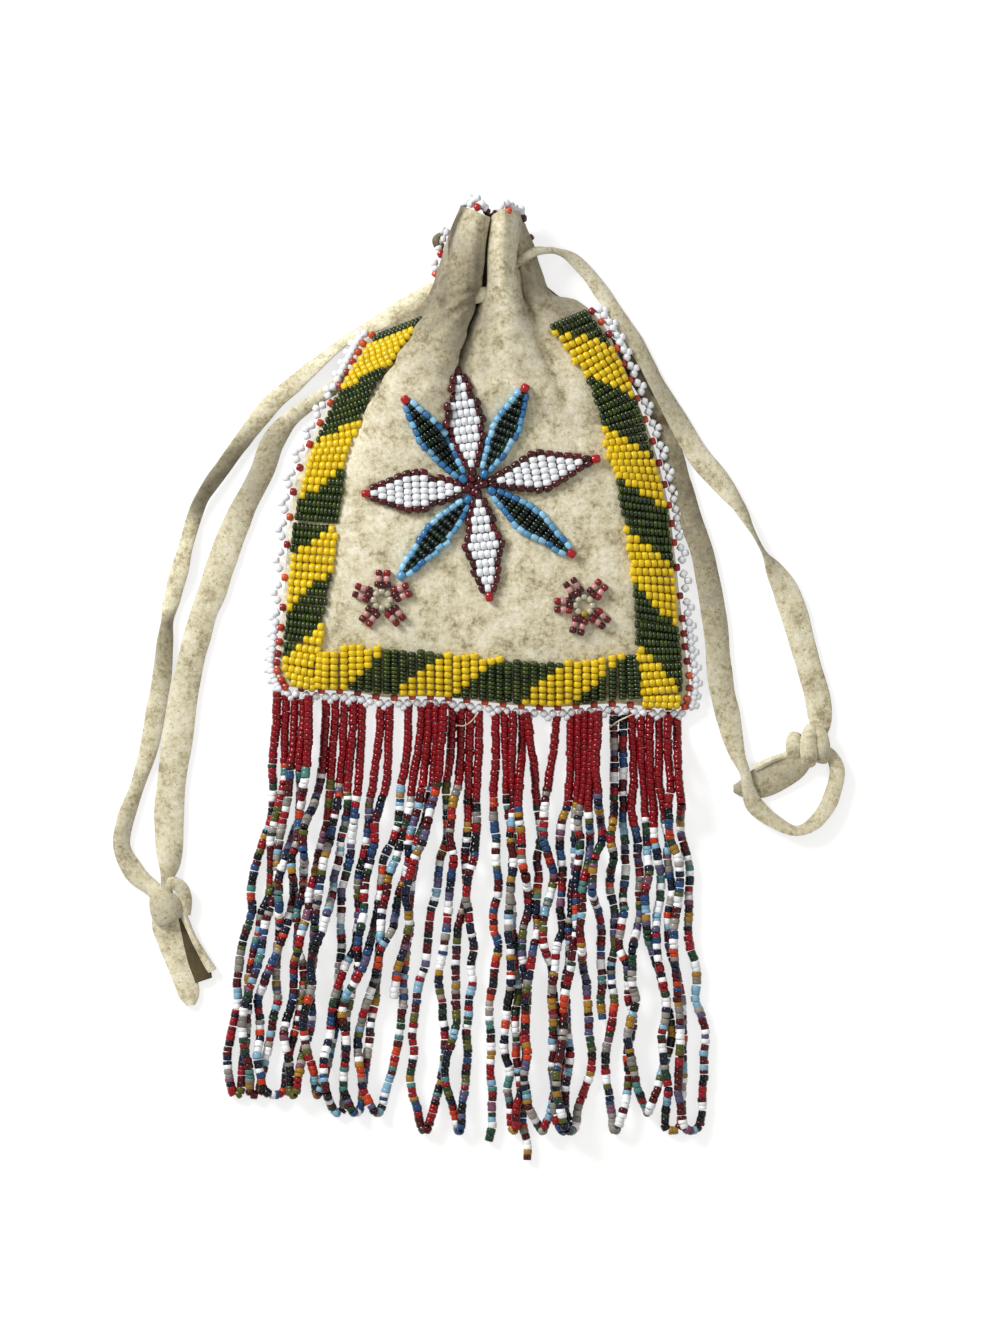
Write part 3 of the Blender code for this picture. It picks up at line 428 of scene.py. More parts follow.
# How far the bottom edge hangs below the line between its corners, at even steps
HEM_DROP = [0.0, 0.5, 0.5, 1.6, 0.9, 0.9, 1.5, 2.1, 2.1, 1.0, 0.1, 0.6, 0.0]
BODY_RISE, NECK_RISE = 6.6 * MM, 5.8 * MM
SHOULDER_REACH = 34.0 * MM             # from the edges in to the full height
DOME = 2.2                             # how full the rise from the edges is
CORD_LIFT = THONG + SEAT               # the thongs lie under the back of the neck
LIFT_FROM, LIFT_TO = 24.0 * MM, 37.0 * MM
MOUTH_DIP = 3.4 * MM                   # the middle of the mouth is drawn down
BACK_MOUTH = 0.93                      # the back's rim, as a share of the way up
# Rolls of the neck: distance up the bag, left edge, crest, right edge, height over the neck,
# and how gently the left and the right flank fall, from 0.5 for an ellipse
LEFT_ROLL = [(6.0, -42.0, -24.0, -11.4, 0.0, 0.6, 0.6), (14.0, -38.5, -21.0, -11.0, 1.0, 0.6, 0.55),
             (22.0, -35.6, -18.6, -10.6, 2.4, 0.55, 0.55), (29.7, -33.2, -17.2, -9.8, 3.8, 0.55, 0.55),
             (38.2, -28.4, -15.8, -8.8, 5.2, 0.55, 0.55), (45.0, -24.2, -13.0, -7.4, 6.4, 0.55, 0.55),
             (52.0, -19.6, -10.4, -5.2, 7.0, 0.55, 0.55), (59.6, -15.0, -7.6, -2.8, 7.6, 0.55, 0.55),
             (66.0, -12.6, -5.4, -1.0, 7.8, 0.55, 0.55), (73.0, -11.0, -4.6, -0.2, 7.6, 0.55, 0.55),
             (90.0, -5.8, -1.2, 1.8, 6.4, 0.55, 0.55)]
RIGHT_ROLL = [(12.0, -11.0, 8.0, 28.0, 0.0, 1.2, 0.9), (26.0, -10.6, 8.0, 25.0, 0.8, 1.2, 0.9),
              (38.0, -9.0, 6.8, 20.4, 2.4, 1.2, 0.8), (47.5, -6.6, 6.2, 15.6, 4.2, 1.1, 0.75),
              (53.3, -4.4, 6.0, 13.2, 5.4, 1.0, 0.7), (58.0, -2.4, 5.8, 11.8, 6.2, 0.9, 0.7),
              (62.0, 0.2, 5.6, 10.4, 6.8, 0.65, 0.65), (66.0, 1.4, 5.4, 9.4, 7.0, 0.55, 0.6),
              (71.0, 1.4, 5.2, 8.5, 7.0, 0.55, 0.6), (90.0, 3.0, 6.4, 11.2, 6.0, 0.55, 0.6)]
SIDE_FOLD = [(46.0, 18.0, 24.0, 31.0, 0.0, 0.7, 0.7), (56.0, 14.0, 19.0, 25.0, 1.2, 0.6, 0.6),
             (64.0, 11.0, 13.8, 17.4, 2.2, 0.55, 0.55), (76.0, 9.6, 11.8, 14.4, 2.4, 0.55, 0.55),
             (90.0, 8.6, 10.6, 12.4, 2.0, 0.55, 0.55)]
FOLD_OVER = 1.0 * MM                   # how far a roll's flank bulges out over its foot
RIPPLE, FINE_RIPPLE, PLEAT = 0.55 * MM, 0.16 * MM, 1.1 * MM
PANEL_ACROSS, PANEL_ALONG = 180, 200
left_seam, right_seam = metres(LEFT_SEAM), metres(RIGHT_SEAM)


def ease(t):
    t = min(max(t, 0.0), 1.0)
    return t * t * (3 - 2 * t)


def table_lift(y):
    return CORD_LIFT * ease((y - LIFT_FROM) / (LIFT_TO - LIFT_FROM))


def rise(distance, reach):
    return 1 - (1 - min(max(distance / reach, 0.0), 1.0)) ** DOME


def roll_shape(stations, x, y):
    """Height that one roll of the neck adds at a place, and how far its flank leans out."""
    if y <= stations[0][0] * MM:
        return 0.0, 0.0
    y = min(y, stations[-1][0] * MM)
    index = next(i for i in range(len(stations) - 1) if y <= stations[i + 1][0] * MM)
    first, second = stations[index], stations[index + 1]
    t = ease((y - first[0] * MM) / ((second[0] - first[0]) * MM))
    left, crest, right, height = [(p + (q - p) * t) * MM for p, q in zip(first[1:5], second[1:5])]
    falls = [p + (q - p) * t for p, q in zip(first[5:], second[5:])]
    across = (x - crest) / (crest - left) if x < crest else (x - crest) / (right - crest)
    if abs(across) >= 1:
        return 0.0, 0.0
    share = (1 - across**2) ** falls[x > crest]
    lean = math.copysign(FOLD_OVER * min(height / (6 * MM), 1) * math.sin(math.pi * share), across)
    return height * share, lean


def panel_place(along, across):
    """Place of the panels in plan, along from 0 at the bottom to 1 at the mouth."""
    last = len(left_seam) - 1
    place = smooth_point(left_seam, along * last).lerp(smooth_point(right_seam, along * last), across)
    hem = [Vector((drop * MM, 0)) for drop in HEM_DROP]
    bow = smooth_point(hem, across * (len(hem) - 1)).x * max(0.0, 1 - 5 * along)
    reach = 0.48 if across < 0.5 else 0.2
    dip = MOUTH_DIP * max(0.0, 1 - abs(across - 0.5) / reach) * max(0.0, 6 * along - 5)
    return Vector((place.x, place.y - bow - dip, 0.0))


def front_face(along, across):
    """Point on the outer face of the front panel, with the hide's own ripples."""
    last = len(left_seam) - 1
    place = panel_place(along, across)
    width = (smooth_point(right_seam, along * last) - smooth_point(left_seam, along * last)).length
    reach = min(SHOULDER_REACH, width / 2)
    from_bottom = place.y - panel_place(0, across).y
    narrow = ease((place.y - LIFT_FROM) / (2 * LIFT_FROM))
    loft = BODY_RISE + (NECK_RISE - BODY_RISE) * narrow
    height = (loft * rise(across * width, reach) * rise((1 - across) * width, reach)
              * rise(from_bottom, SHOULDER_REACH))
    rolls, lean = max(roll_shape(stations, place.x, place.y)
                      for stations in (LEFT_ROLL, RIGHT_ROLL, SIDE_FOLD))
    inner = rise(min(across, 1 - across) * width, HIDE * 3)
    ripple = noise.noise(Vector((place.x * 55, place.y * 38, 3.0))) * RIPPLE
    ripple += noise.noise(Vector((place.x * 190, place.y * 120, 7.0))) * FINE_RIPPLE
    # Small pleats run down out of the gathers and fade into the body
    angle = (math.atan2(place.x - 2 * MM, 66 * MM - place.y) if place.y < 66 * MM
             else place.x / (20 * MM))
    pleats = noise.noise(Vector((angle * 5.5, 1.0, 5.0))) * PLEAT
    pleats *= ease((place.y - 8 * MM) / (44 * MM))
    place.z = table_lift(place.y) + 2 * HIDE + SEAT + height + (rolls + ripple + pleats) * inner
    place.x += lean
    return place


def back_face(along, across):
    """Point on the inner face of the back panel, which is drawn down short of the mouth."""
    place = panel_place(along * BACK_MOUTH, across)
    place.z = table_lift(place.y) + HIDE
    return place


panel_skin = buckskin("brain_tanned_hide", "#F9F2DA", "#DCD2B0", "#978B69", "#6E6246",
                      0.35, 0.28 * MM)


def add_panel(name, surface, across, along, node):
    """Hide laid over a surface and given its thickness."""
    build = bmesh.new()
    bmesh.ops.create_grid(build, x_segments=across, y_segments=along, size=0.5)
    for vert in build.verts:
        vert.co = surface(min(max(vert.co.y + 0.5, 0), 1), min(max(vert.co.x + 0.5, 0), 1))
    bmesh.ops.recalc_face_normals(build, faces=build.faces)
    tree = BVHTree.FromBMesh(build)
    if sum(face.normal.z for face in build.faces) < 0:
        bmesh.ops.reverse_faces(build, faces=build.faces)
    made = add_piece(name, build, panel_skin, [node])
    wall = made.modifiers.new("hide", "SOLIDIFY")
    wall.thickness = HIDE
    wall.offset = -1.0
    return made, tree


front_panel, front_tree = add_panel("hide_front", front_face, PANEL_ACROSS, PANEL_ALONG,
                                    "front_panel")
# The left roll darkens most where the thongs draw it in, by handling dirt and painted shade, and painted
# shade fills the groove beside it
painted_shade_and_dirt = front_panel.data.attributes.new("painted_shade_and_dirt", "FLOAT", "POINT")
for vert, darkness in zip(front_panel.data.vertices, painted_shade_and_dirt.data):
    x, y, z = vert.co
    near_thong = math.exp(-((y - 64 * MM) / (20 * MM)) ** 2) * ease((6 * MM - x) / (8 * MM))
    groove_shade = (ease((13 * MM - z) / (3 * MM)) * ease((y - 36 * MM) / (12 * MM))
                 * (-10 * MM < x < 4 * MM))
    # Painted shadow of the right roll on the hide to its right
    roll_shadow = ease((y - 50 * MM) / (12 * MM)) * ease((x - 8 * MM) / (4 * MM))
    darkness.value = 0.1 + 1.35 * near_thong + 1.1 * groove_shade + 1.0 * roll_shadow
add_panel("hide_back", back_face, 60, 80, "back_panel")


def on_front(x, y):
    """Height of the front panel's outer face at a place in plan."""
    hit = front_tree.ray_cast(Vector((x, y, 1.0)), Vector((0, 0, -1)))[0]
    return hit.z if hit else 2 * HIDE + SEAT + table_lift(y)


# Beaded lanes

# Lane stitch round the edge: rows of glass seed beads strung across the lane, tacked down at
# its two edges so that each row arches. Opaque yellow and smaller dark green beads slant.

LANE_BEAD = 2.42 * MM                  # thickness of a bead
ROW_ARCH = 0.6 * MM                    # how far a row's middle stands over its ends
YELLOW_LENGTH, GREEN_LENGTH = 1.78 * MM, 1.12 * MM
YELLOW, GREENS = "#DFBE14", ("#2A380A", "#36460E", "#1E2E0A")
# Outer and inner edge, pitch of the rows, and where the colour changes on each edge,
# counted up the bag on the side lanes and from left to right on the bottom one
LANES = {
    "border_left": (
        [(-54.0, -45.2), (-56.0, -42.4), (-56.2, -39.0), (-55.6, -32.0), (-54.6, -20.0), (-53.2, -2.0),
         (-51.3, 7.4), (-49.0, 16.4), (-46.0, 23.4), (-41.6, 33.0), (-36.8, 41.4), (-32.4, 48.2),
         (-29.4, 51.2)],
        [(-47.8, -47.0), (-47.9, -44.2), (-47.4, -40.5), (-45.6, -33.5), (-43.6, -21.0), (-41.2, -3.0),
         (-39.7, 6.3), (-38.2, 16.6), (-35.0, 26.0), (-29.8, 38.0), (-24.2, 46.8), (-19.2, 53.2),
         (-16.8, 56.0)],
        2.2, [(-38.9, -28.0), (-24.7, -13.7), (-9.6, -0.1), (5.8, 14.9), (21.9, 29.2), (36.2, 43.5),
         (49.3, 54.9)]),
    "border_right": (
        [(54.6, -51.8), (55.3, -46.0), (54.8, -38.0), (54.0, -28.0), (52.8, -12.0), (50.6, 5.0),
         (47.0, 18.6), (42.4, 33.6), (37.8, 44.4), (33.8, 51.2), (28.8, 57.8)],
        [(44.8, -51.6), (43.8, -47.0), (43.0, -38.0), (42.2, -26.0), (41.3, -12.0), (37.8, 7.0),
         (34.8, 17.8), (32.2, 29.0), (28.8, 38.4), (24.0, 46.4), (18.8, 53.4)],
        2.2, [(-47.2, -33.5), (-29.7, -17.7), (-13.1, -2.0), (2.9, 12.6), (18.1, 27.1), (33.8, 41.9),
         (49.3, 53.9)]),
    "border_bottom": (
        [(-46.4, -47.2), (-38.0, -47.4), (-27.8, -48.6), (-10.3, -49.2), (5.9, -50.9), (19.6, -51.9),
         (33.0, -50.6), (43.0, -49.9)],
        [(-45.8, -37.6), (-38.0, -35.8), (-27.8, -36.1), (-10.3, -37.2), (5.9, -39.2), (19.6, -40.2),
         (33.0, -38.8), (42.2, -38.0)],
        2.4, [(-38.3, -26.8), (-24.3, -10.5), (-8.5, 5.3), (10.3, 22.5), (25.8, 39.5)]),
}


def bead_mesh(name, shoulder):
    """Seed bead 1 long and 1 thick: drawn glass tube, tumbled round at its ends, hole along X."""
    build = bmesh.new()
    flank = [(0.66, 0.95 + 0.05 * shoulder), (1.0, 0.66 + 0.22 * shoulder), (0.86, 0.42)]
    profile = [(-x, r) for x, r in flank[::-1]] + [(0.0, 1.0)] + flank
    verts = [build.verts.new((x / 2, 0, r / 2)) for x, r in profile]
    edges = [build.edges.new(pair) for pair in zip(verts, verts[1:] + verts[:1])]
    bmesh.ops.spin(build, geom=verts + edges, cent=(0, 0, 0), axis=(1, 0, 0), angle=math.tau,
                   steps=9, use_merge=True)
    bmesh.ops.remove_doubles(build, verts=build.verts, dist=1e-7)
    bmesh.ops.recalc_face_normals(build, faces=build.faces)
    return new_mesh(name, build)


def even_shares(points, count):
    """Places along a run of points, counted as smooth_point does, that are equally far apart."""
    total = run_length(points)
    shares, walked, due = [], 0.0, 0
    for index, (a, b) in enumerate(zip(points, points[1:])):
        step = (b - a).length
        while due <= count and total * due / count <= walked + step + 1e-9:
            shares.append(min(index + (total * due / count - walked) / step, len(points) - 1))
            due += 1
        walked += step
    return shares


class Beadwork:
    """Beads of one piece, each stamped from the same glass bead with its own place and colour."""

    def __init__(self, seed, shoulder=0.0):
        self.build = bmesh.new()
        self.colours = []
        self.chance = random.Random(seed)
        self.bead = bead_mesh("bead", shoulder)

    def add(self, centre, along, length, diameter, colour, spread=0.05):
        along = along.normalized()
        tilt = Vector([self.chance.uniform(-0.06, 0.06) for _ in range(3)])
        turn = (along + tilt).to_track_quat("X", "Z").to_matrix().to_4x4()
        size = 1 + self.chance.uniform(-0.05, 0.05)
        stamp = self.bead.copy()
        thick = diameter * size
        stamp.transform(Matrix.Translation(centre) @ turn @ Matrix.Diagonal((length, thick, thick, 1)))
        self.build.from_mesh(stamp)
        bpy.data.meshes.remove(stamp)
        shade = 1 + self.chance.uniform(-spread, spread)
        self.colours.append([c * shade for c in linear(colour)[:3]] + [1.0])

    def finish(self, name, look, nodes):
        count = len(self.bead.vertices)
        made = add_piece(name, self.build, look, nodes)
        glass = made.data.attributes.new("glass", "FLOAT_COLOR", "POINT")
        glass.data.foreach_set("color", [value for colour in self.colours for value in colour * count])
        bpy.data.meshes.remove(self.bead)
        return made


def bead_glass(name, roughness, shine):
    """Glass seed beads in many colours: the colour is in the glass, and the skin is fire-bright."""
    made, tree = new_material(name)
    colour = add_node(tree, "Attribute", attribute_name="glass")
    glass = add_node(tree, "BsdfPrincipled",
                     {"Base Color": colour.outputs["Color"], "Roughness": roughness, "IOR": 1.52,
                      "Specular IOR Level": shine})
    add_node(tree, "OutputMaterial", {"Surface": glass.outputs[0]})
    return made


seed_bead_glass = bead_glass("glass_seed_beads", 0.2, 0.5)


def tacked(x, y, height):
    """Place of a bead that lies on the front with its middle at a height over the hide."""
    return Vector((x, y, on_front(x, y) + height))


for seed, (lane_name, (outer_points, inner_points, pitch, stripes)) in enumerate(LANES.items()):
    outer_points, inner_points = metres(outer_points), metres(inner_points)
    middle_line = [(a + b) / 2 for a, b in zip(outer_points, inner_points)]
    rows = round(run_length(middle_line) / (pitch * MM))
    beads = Beadwork(seed)
    for row, along in enumerate(even_shares(middle_line, rows)):
        outer, inner = smooth_point(outer_points, along), smooth_point(inner_points, along)
        run = (inner - outer).length
        reach, ceiling = beads.chance.uniform(-0.3, 0.1) * MM, 1.0
        while reach < run - 0.5 * GREEN_LENGTH:
            share = max(reach, 0) / run
            way_up = outer.lerp(inner, share)["bottom" not in lane_name] / MM
            yellow = sum(way_up > o + (i - o) * share for o, i in stripes) % 2 == 0
            length = YELLOW_LENGTH if yellow else GREEN_LENGTH
            middle = min((reach + length / 2) / run, 1.0)
            x, y, _ = outer.lerp(inner, middle)
            arch = ROW_ARCH * math.sin(math.pi * max(middle, 0))
            centre = tacked(x, y, LANE_BEAD * 0.44 + arch)
            # A row doesn't climb the roll of the neck that hangs over its end
            centre.z = min(centre.z, ceiling)
            ceiling = centre.z + (0.22 if "left" in lane_name else 0.8) * length
            before = outer.lerp(inner, max(middle - 0.05, 0))
            after = outer.lerp(inner, min(middle + 0.05, 1))
            lean = after - before
            climb = tacked(*after.xy, 0).z - tacked(*before.xy, 0).z
            lean.z = min(max(climb, -0.3 * lean.length), 0.3 * lean.length)
            beads.add(centre, lean, length * 1.02, LANE_BEAD if yellow else LANE_BEAD * 0.95,
                      YELLOW if yellow else beads.chance.choice(GREENS), 0.1)
            reach += length
    beads.finish(lane_name + "_beads", seed_bead_glass, [lane_name])

# Star

# Eight-pointed star in the middle of the front: four white petals outlined in maroon and four
# dark ones outlined in blue, each filled with short rows of seed beads and tipped with red.

STAR_BEAD = 2.1 * MM
STAR_LENGTH = 1.74 * MM                # a white bead along its row
DARK_LENGTH = 1.05 * MM
OUTLINE_LENGTH = 2.3 * MM
WHITE, MAROONS, TIP_RED = "#ECEEF2", ("#42070E", "#540A14", "#36060C"), "#A61218"
BLUES = ("#78B0D2", "#8CC0DC", "#5A97C0", "#2F6A9C")
INKS = ("#03100A", "#061C14", "#0C2412", "#020C0C", "#16301A")
# Each petal's root and tip, and the beads in its rows from the root out
STAR = {
    "star_petal_white_up": ((-3.2, 13.2), (-7.3, 41.4), (1, 2, 3, 4, 4, 5, 4, 4, 2, 2, 1)),
    "star_petal_white_right": ((-0.1, 9.8), (31.3, 16.9), (0, 1, 2, 3, 4, 5, 5, 4, 3, 2, 1, 0)),
    "star_petal_white_down": ((-1.7, 7.0), (1.5, -21.7), (1, 2, 3, 3, 4, 5, 4, 3, 3, 2, 1)),
    "star_petal_white_left": ((-4.9, 8.4), (-33.0, 7.2), (1, 2, 3, 3, 5, 5, 5, 4, 3, 2, 1)),
    "star_petal_dark_up_left": ((-5.8, 11.2), (-21.9, 33.2), (1, 2, 3, 4, 4, 5, 5, 4, 3, 2, 1)),
    "star_petal_dark_up_right": ((0.1, 12.6), (11.5, 36.5), (1, 2, 3, 4, 4, 5, 5, 4, 3, 2, 1)),
    "star_petal_dark_down_left": ((-4.4, 5.5), (-23.1, -15.8), (1, 2, 3, 4, 4, 5, 4, 4, 3, 2, 2, 1)),
    "star_petal_dark_down_right": ((2.2, 7.9), (24.5, -9.6), (1, 2, 3, 4, 5, 5, 5, 4, 3, 2, 2, 1)),
}
for seed, (petal_name, (root, tip, counts)) in enumerate(STAR.items(), 10):
    beads = Beadwork(seed)
    white = "white" in petal_name
    root, tip = metres([root, tip])
    axis = (tip - root).normalized()
    side = Vector((-axis.y, axis.x, 0))
    fill_length = STAR_LENGTH if white else DARK_LENGTH
    for row, count in enumerate(counts, 1):
        middle = root + (tip - root) * row / (len(counts) + 1)
        middle += side * beads.chance.uniform(-0.15, 0.15) * MM
        for k in range(count):
            x, y, _ = (middle + side * (k - (count - 1) / 2) * fill_length
                       + axis * beads.chance.uniform(-0.12, 0.12) * MM)
            beads.add(tacked(x, y, STAR_BEAD * 0.5), side, fill_length,
                      STAR_BEAD * (1.2 if white else 1.14),
                      WHITE if white else beads.chance.choice(INKS), 0.04 if white else 0.3)
        for way in (-1, 1):
            x, y, _ = middle + side * way * (count * fill_length + STAR_BEAD * 0.7) / 2
            colour = beads.chance.choice(MAROONS if white else BLUES)
            bend = side * way * (0.35 if row < len(counts) / 2 else -0.35)
            beads.add(tacked(x, y, STAR_BEAD * 0.48), axis + bend, OUTLINE_LENGTH, STAR_BEAD * 0.98,
                      colour, 0.15)
    for place, colour in ((root, MAROONS[0] if white else BLUES[3]), (tip - axis * 0.1 * MM, TIP_RED)):
        if petal_name.endswith("white_up") and place != root:
            colour = MAROONS[0]
        if petal_name.endswith("dark_down_left") and place != root:
            colour = BLUES[2]
        beads.add(tacked(place.x, place.y, STAR_BEAD * 0.55), axis, OUTLINE_LENGTH * 1.1,
                  STAR_BEAD * 1.15, colour)
    if petal_name == "star_petal_white_down":
        # The thread crosses the middle of the star with a few more maroon beads
        for x, y in ((-3.4, 11.4), (-1.6, 9.2), (-3.9, 9.4), (-2.8, 7.8), (-1.2, 11.0)):
            beads.add(tacked(x * MM, y * MM, STAR_BEAD * 0.5), Vector((x + 2, y - 9, 0)),
                      OUTLINE_LENGTH, STAR_BEAD, beads.chance.choice(MAROONS), 0.3)
    beads.finish(petal_name + "_beads", seed_bead_glass,
                 [petal_name])

# Rosettes

# Two small flowers below the star: five petals of maroon and clear pink beads round a ring of
# clear ones, each petal tacked down by itself.

ROSE_BEAD, ROSE_LENGTH = 1.95 * MM, 1.75 * MM
ROSE_REDS = ("#4A0912", "#6A0E18", "#7E1018")
CLEAR_PINK, CLEAR_GLASS, GOLD = "#B98784", "#B4AC94", "#A98E28"
# Middle of each rosette, and the way that each of its petals points, in degrees
ROSETTES = {
    "rosette_left": ((-28.4, -22.4), (88, 21, -50, 233, 160)),
    "rosette_right": ((28.0, -24.0), (122, 50, -40, 254, 180)),
}
for seed, (rosette_name, (centre, petals)) in enumerate(ROSETTES.items(), 30):
    beads = Beadwork(seed)
    centre = metres([centre])[0]
    for degrees in petals:
        out = Vector((math.cos(math.radians(degrees)), math.sin(math.radians(degrees)), 0))
        across = Vector((-out.y, out.x, 0))
        for way in (-1, 1):
            for far, apart, colour in ((7.5, 1.2, ROSE_REDS), (5.8, 1.15, (CLEAR_PINK,)),
                                       (4.3, 1.4, ROSE_REDS)):
                x, y, _ = centre + out * far * MM + across * way * apart * MM
                beads.add(tacked(x, y, ROSE_BEAD * 0.5), out, ROSE_LENGTH, ROSE_BEAD,
                          beads.chance.choice(colour), 0.2)
        x, y, _ = centre + out * 3.9 * MM
        beads.add(tacked(x, y, ROSE_BEAD * 0.5), across, ROSE_LENGTH, ROSE_BEAD, ROSE_REDS[0], 0.2)
    for step in range(8):
        angle = math.tau * step / 8
        out = Vector((math.cos(angle), math.sin(angle), 0))
        x, y, _ = centre + out * 2.3 * MM
        colour = GOLD if rosette_name.endswith("right") and step == 6 else CLEAR_GLASS
        beads.add(tacked(x, y, ROSE_BEAD * 0.45), Vector((-out.y, out.x, 0)), ROSE_LENGTH, ROSE_BEAD,
                  colour, 0.1)
    beads.finish(rosette_name + "_beads", seed_bead_glass, [rosette_name])

# Picot edging

# Beads sewn along every edge: one orange or red bead on the rim, then three white ones that
# bridge out to the next, so that each stands out as a small point.

PICOT_PITCH = 5.0 * MM
PICOT_REACH = 2.9 * MM
PICOT_BEAD, PICOT_LENGTH = 2.25 * MM, 1.85 * MM
PICOT_WHITE, PICOT_REDS = "#ECEEF3", ("#CC5228", "#C24A22", "#B03420", "#8A1C1C")
RIM = 2 * HIDE + SEAT


def picots(beads, edge, outward):
    """Picots along an edge line, which already has its height."""
    last = len(edge) - 1
    count = max(2, round(run_length(edge) / PICOT_PITCH))
    for picot in range(count + 1):
        here = last * picot / count
        base = smooth_point(edge, here)
        ahead = smooth_point(edge, min(here + 0.1, last)) - smooth_point(edge, max(here - 0.1, 0))
        ahead.z = 0
        ahead.normalize()
        away = Vector((ahead.y, -ahead.x, 0)) * outward
        beads.add(base + away * 0.1 * MM, away, PICOT_LENGTH, PICOT_BEAD * 0.95,
                  beads.chance.choice(PICOT_REDS), 0.1)
        if picot == count:
            break
        for share, out in ((0.25, 0.62), (0.5, 1.0), (0.75, 0.62)):
            place = smooth_point(edge, last * (picot + share) / count) + away * out * PICOT_REACH
            place.z -= out * 1.1 * MM
            lean = ahead * (1 if share == 0.5 else 0.5) + away * (0.5 - share) * 2.4
            beads.add(place, lean, PICOT_LENGTH, PICOT_BEAD, PICOT_WHITE, 0.03)


def rim_line(seam, highest):
    """Line on the rim over a seam, up to a distance up the bag."""
    last = len(seam) - 1
    line = [smooth_point(seam, last * step / 80) for step in range(81)]
    return [Vector((p.x, p.y, table_lift(p.y) + RIM)) for p in line if p.y < highest * MM]


bottom_edge = [panel_place(0, k / 12) + Vector((0, 0, RIM)) for k in range(13)]
for seed, (side_name, edge, outward) in enumerate((
        ("picots_left", rim_line(left_seam, 52.5), -1), ("picots_right", rim_line(right_seam, 59), 1),
        ("picots_bottom", bottom_edge, 1)), 40):
    beads = Beadwork(seed)
    picots(beads, edge, outward)
    beads.finish(side_name + "_beads", seed_bead_glass, [side_name])

# Round the mouth most are white. The front's sit on the rims of the two rolls. Each bead is
# placed across and along the bag, with the number of its colour
MOUTH_BEADS = [
    (-4.8, 88.5, 0), (-4.0, 89.6, 0), (-3.0, 88.8, 0), (-1.9, 89.4, 0), (-3.6, 87.9, 0), (-1.9, 86.8, 2),
    (-0.6, 87.8, 0), (0.3, 86.8, 0), (0.8, 85.8, 3), (1.3, 84.5, 3), (3.0, 85.1, 3), (4.4, 86.6, 0),
    (5.2, 87.7, 0), (6.2, 88.0, 0), (6.8, 85.9, 1), (7.6, 87.4, 0), (8.6, 87.1, 0), (9.4, 86.3, 0),
    (10.4, 86.8, 0), (10.4, 85.5, 0), (11.0, 84.1, 3),
]
BACK_BEADS = [
    (-11.5, 80.9, 0), (-10.6, 80.4, 0), (-11.6, 78.5, 0), (-12.7, 77.6, 0), (-12.7, 76.2, 0),
    (-12.0, 74.3, 2), (-13.9, 71.9, 0), (-13.6, 70.3, 0), (-13.5, 68.7, 1), (12.9, 78.8, 3),
]
MOUTH_COLOURS = (PICOT_WHITE, "#D2542C", "#A81C1C", "#4A0A10")
beads = Beadwork(43)
for x, y, colour in MOUTH_BEADS:
    rim = front_face(1, min(max((x + 6.4) / 16.6, 0.05), 0.95))
    way = Vector((1, beads.chance.uniform(-0.8, 0.8), beads.chance.uniform(-0.5, 0.5)))
    place = Vector((x * MM, y * MM, rim.z - HIDE * 0.5 - (y * MM - rim.y) * 0.4))
    beads.add(place, way, PICOT_LENGTH, PICOT_BEAD, MOUTH_COLOURS[colour], 0.05)
beads.finish("picots_mouth_front_beads", seed_bead_glass, ["picots_mouth_front"])

# The back's rim is drawn down, and its beads come round the left of the neck in a bunch
beads = Beadwork(44)
for x, y, colour in BACK_BEADS:
    way = Vector((beads.chance.uniform(-1, 1), 1, 0))
    beads.add(Vector((x * MM, y * MM, 3.0 * MM)), way, PICOT_LENGTH, PICOT_BEAD,
              MOUTH_COLOURS[colour], 0.05)
for step in range(1, 12):
    place = back_face(1, step / 12)
    colour = PICOT_REDS[step % 3] if step % 4 == 1 else PICOT_WHITE
    beads.add(place + Vector((0, (1.1 + step % 2 * 1.2) * MM, 0)), Vector((1, 0, 0)), PICOT_LENGTH,
              PICOT_BEAD, colour, 0.05)
beads.finish("picots_mouth_back_beads", seed_bead_glass, ["picots_mouth_back"])

# Fringe

# Long loops of seed beads on waxed thread, sewn into the bottom seam. Each starts in dark red
# and goes on in every colour that was left over, and they lie on and beside each other.

FRINGE_BEAD, FRINGE_LENGTH = 2.4 * MM, 1.57 * MM
# Tops of both strands across the bag, then the tip across and along
FRINGE_LOOPS = [
    (-58.0, -55.5, -69.2, -159.4), (-53.0, -50.5, -64.0, -161.2), (-49.0, -44.2, -58.6, -161.0),
    (-41.6, -39.1, -53.2, -159.8), (-36.6, -34.1, -46.4, -160.6), (-29.0, -26.5, -41.4, -165.4),
    (-21.2, -17.4, -36.2, -164.8), (-15.2, -13.4, -30.6, -166.0), (-8.9, -6.4, -16.8, -167.4),
    (-3.9, -1.4, -7.0, -168.0), (8.2, 10.7, 9.0, -167.2), (12.0, 20.4, 15.9, -168.6),
    (24.4, 26.6, 20.4, -168.0), (28.4, 30.4, 24.8, -170.0), (36.4, 38.9, 37.4, -171.8),
    (41.4, 43.9, 46.2, -163.0), (46.4, 48.9, 53.0, -170.6), (51.4, 53.9, 58.4, -167.2),
]
FRINGE_SINGLES = [(-11.4, -24.4, -137.0), (3.2, 1.8, -172.4), (5.7, 11.4, -178.6), (31.9, 31.8, -141.6)]
FRINGE_STEP = 5.0 * MM
FRINGE_SWAY = 1.3 * MM
FRINGE_RED = "#78040F"
# The two strands of a loop come together this far below the hem
FRINGE_MEET = 27.0 * MM
# Length of the red at the top of the strands that differ from the rest, by where they start
RED_RUNS = {-29.0: 28.0, 36.4: 2.5, 41.4: 33.0, 46.4: 34.0, -53.0: 22.0}
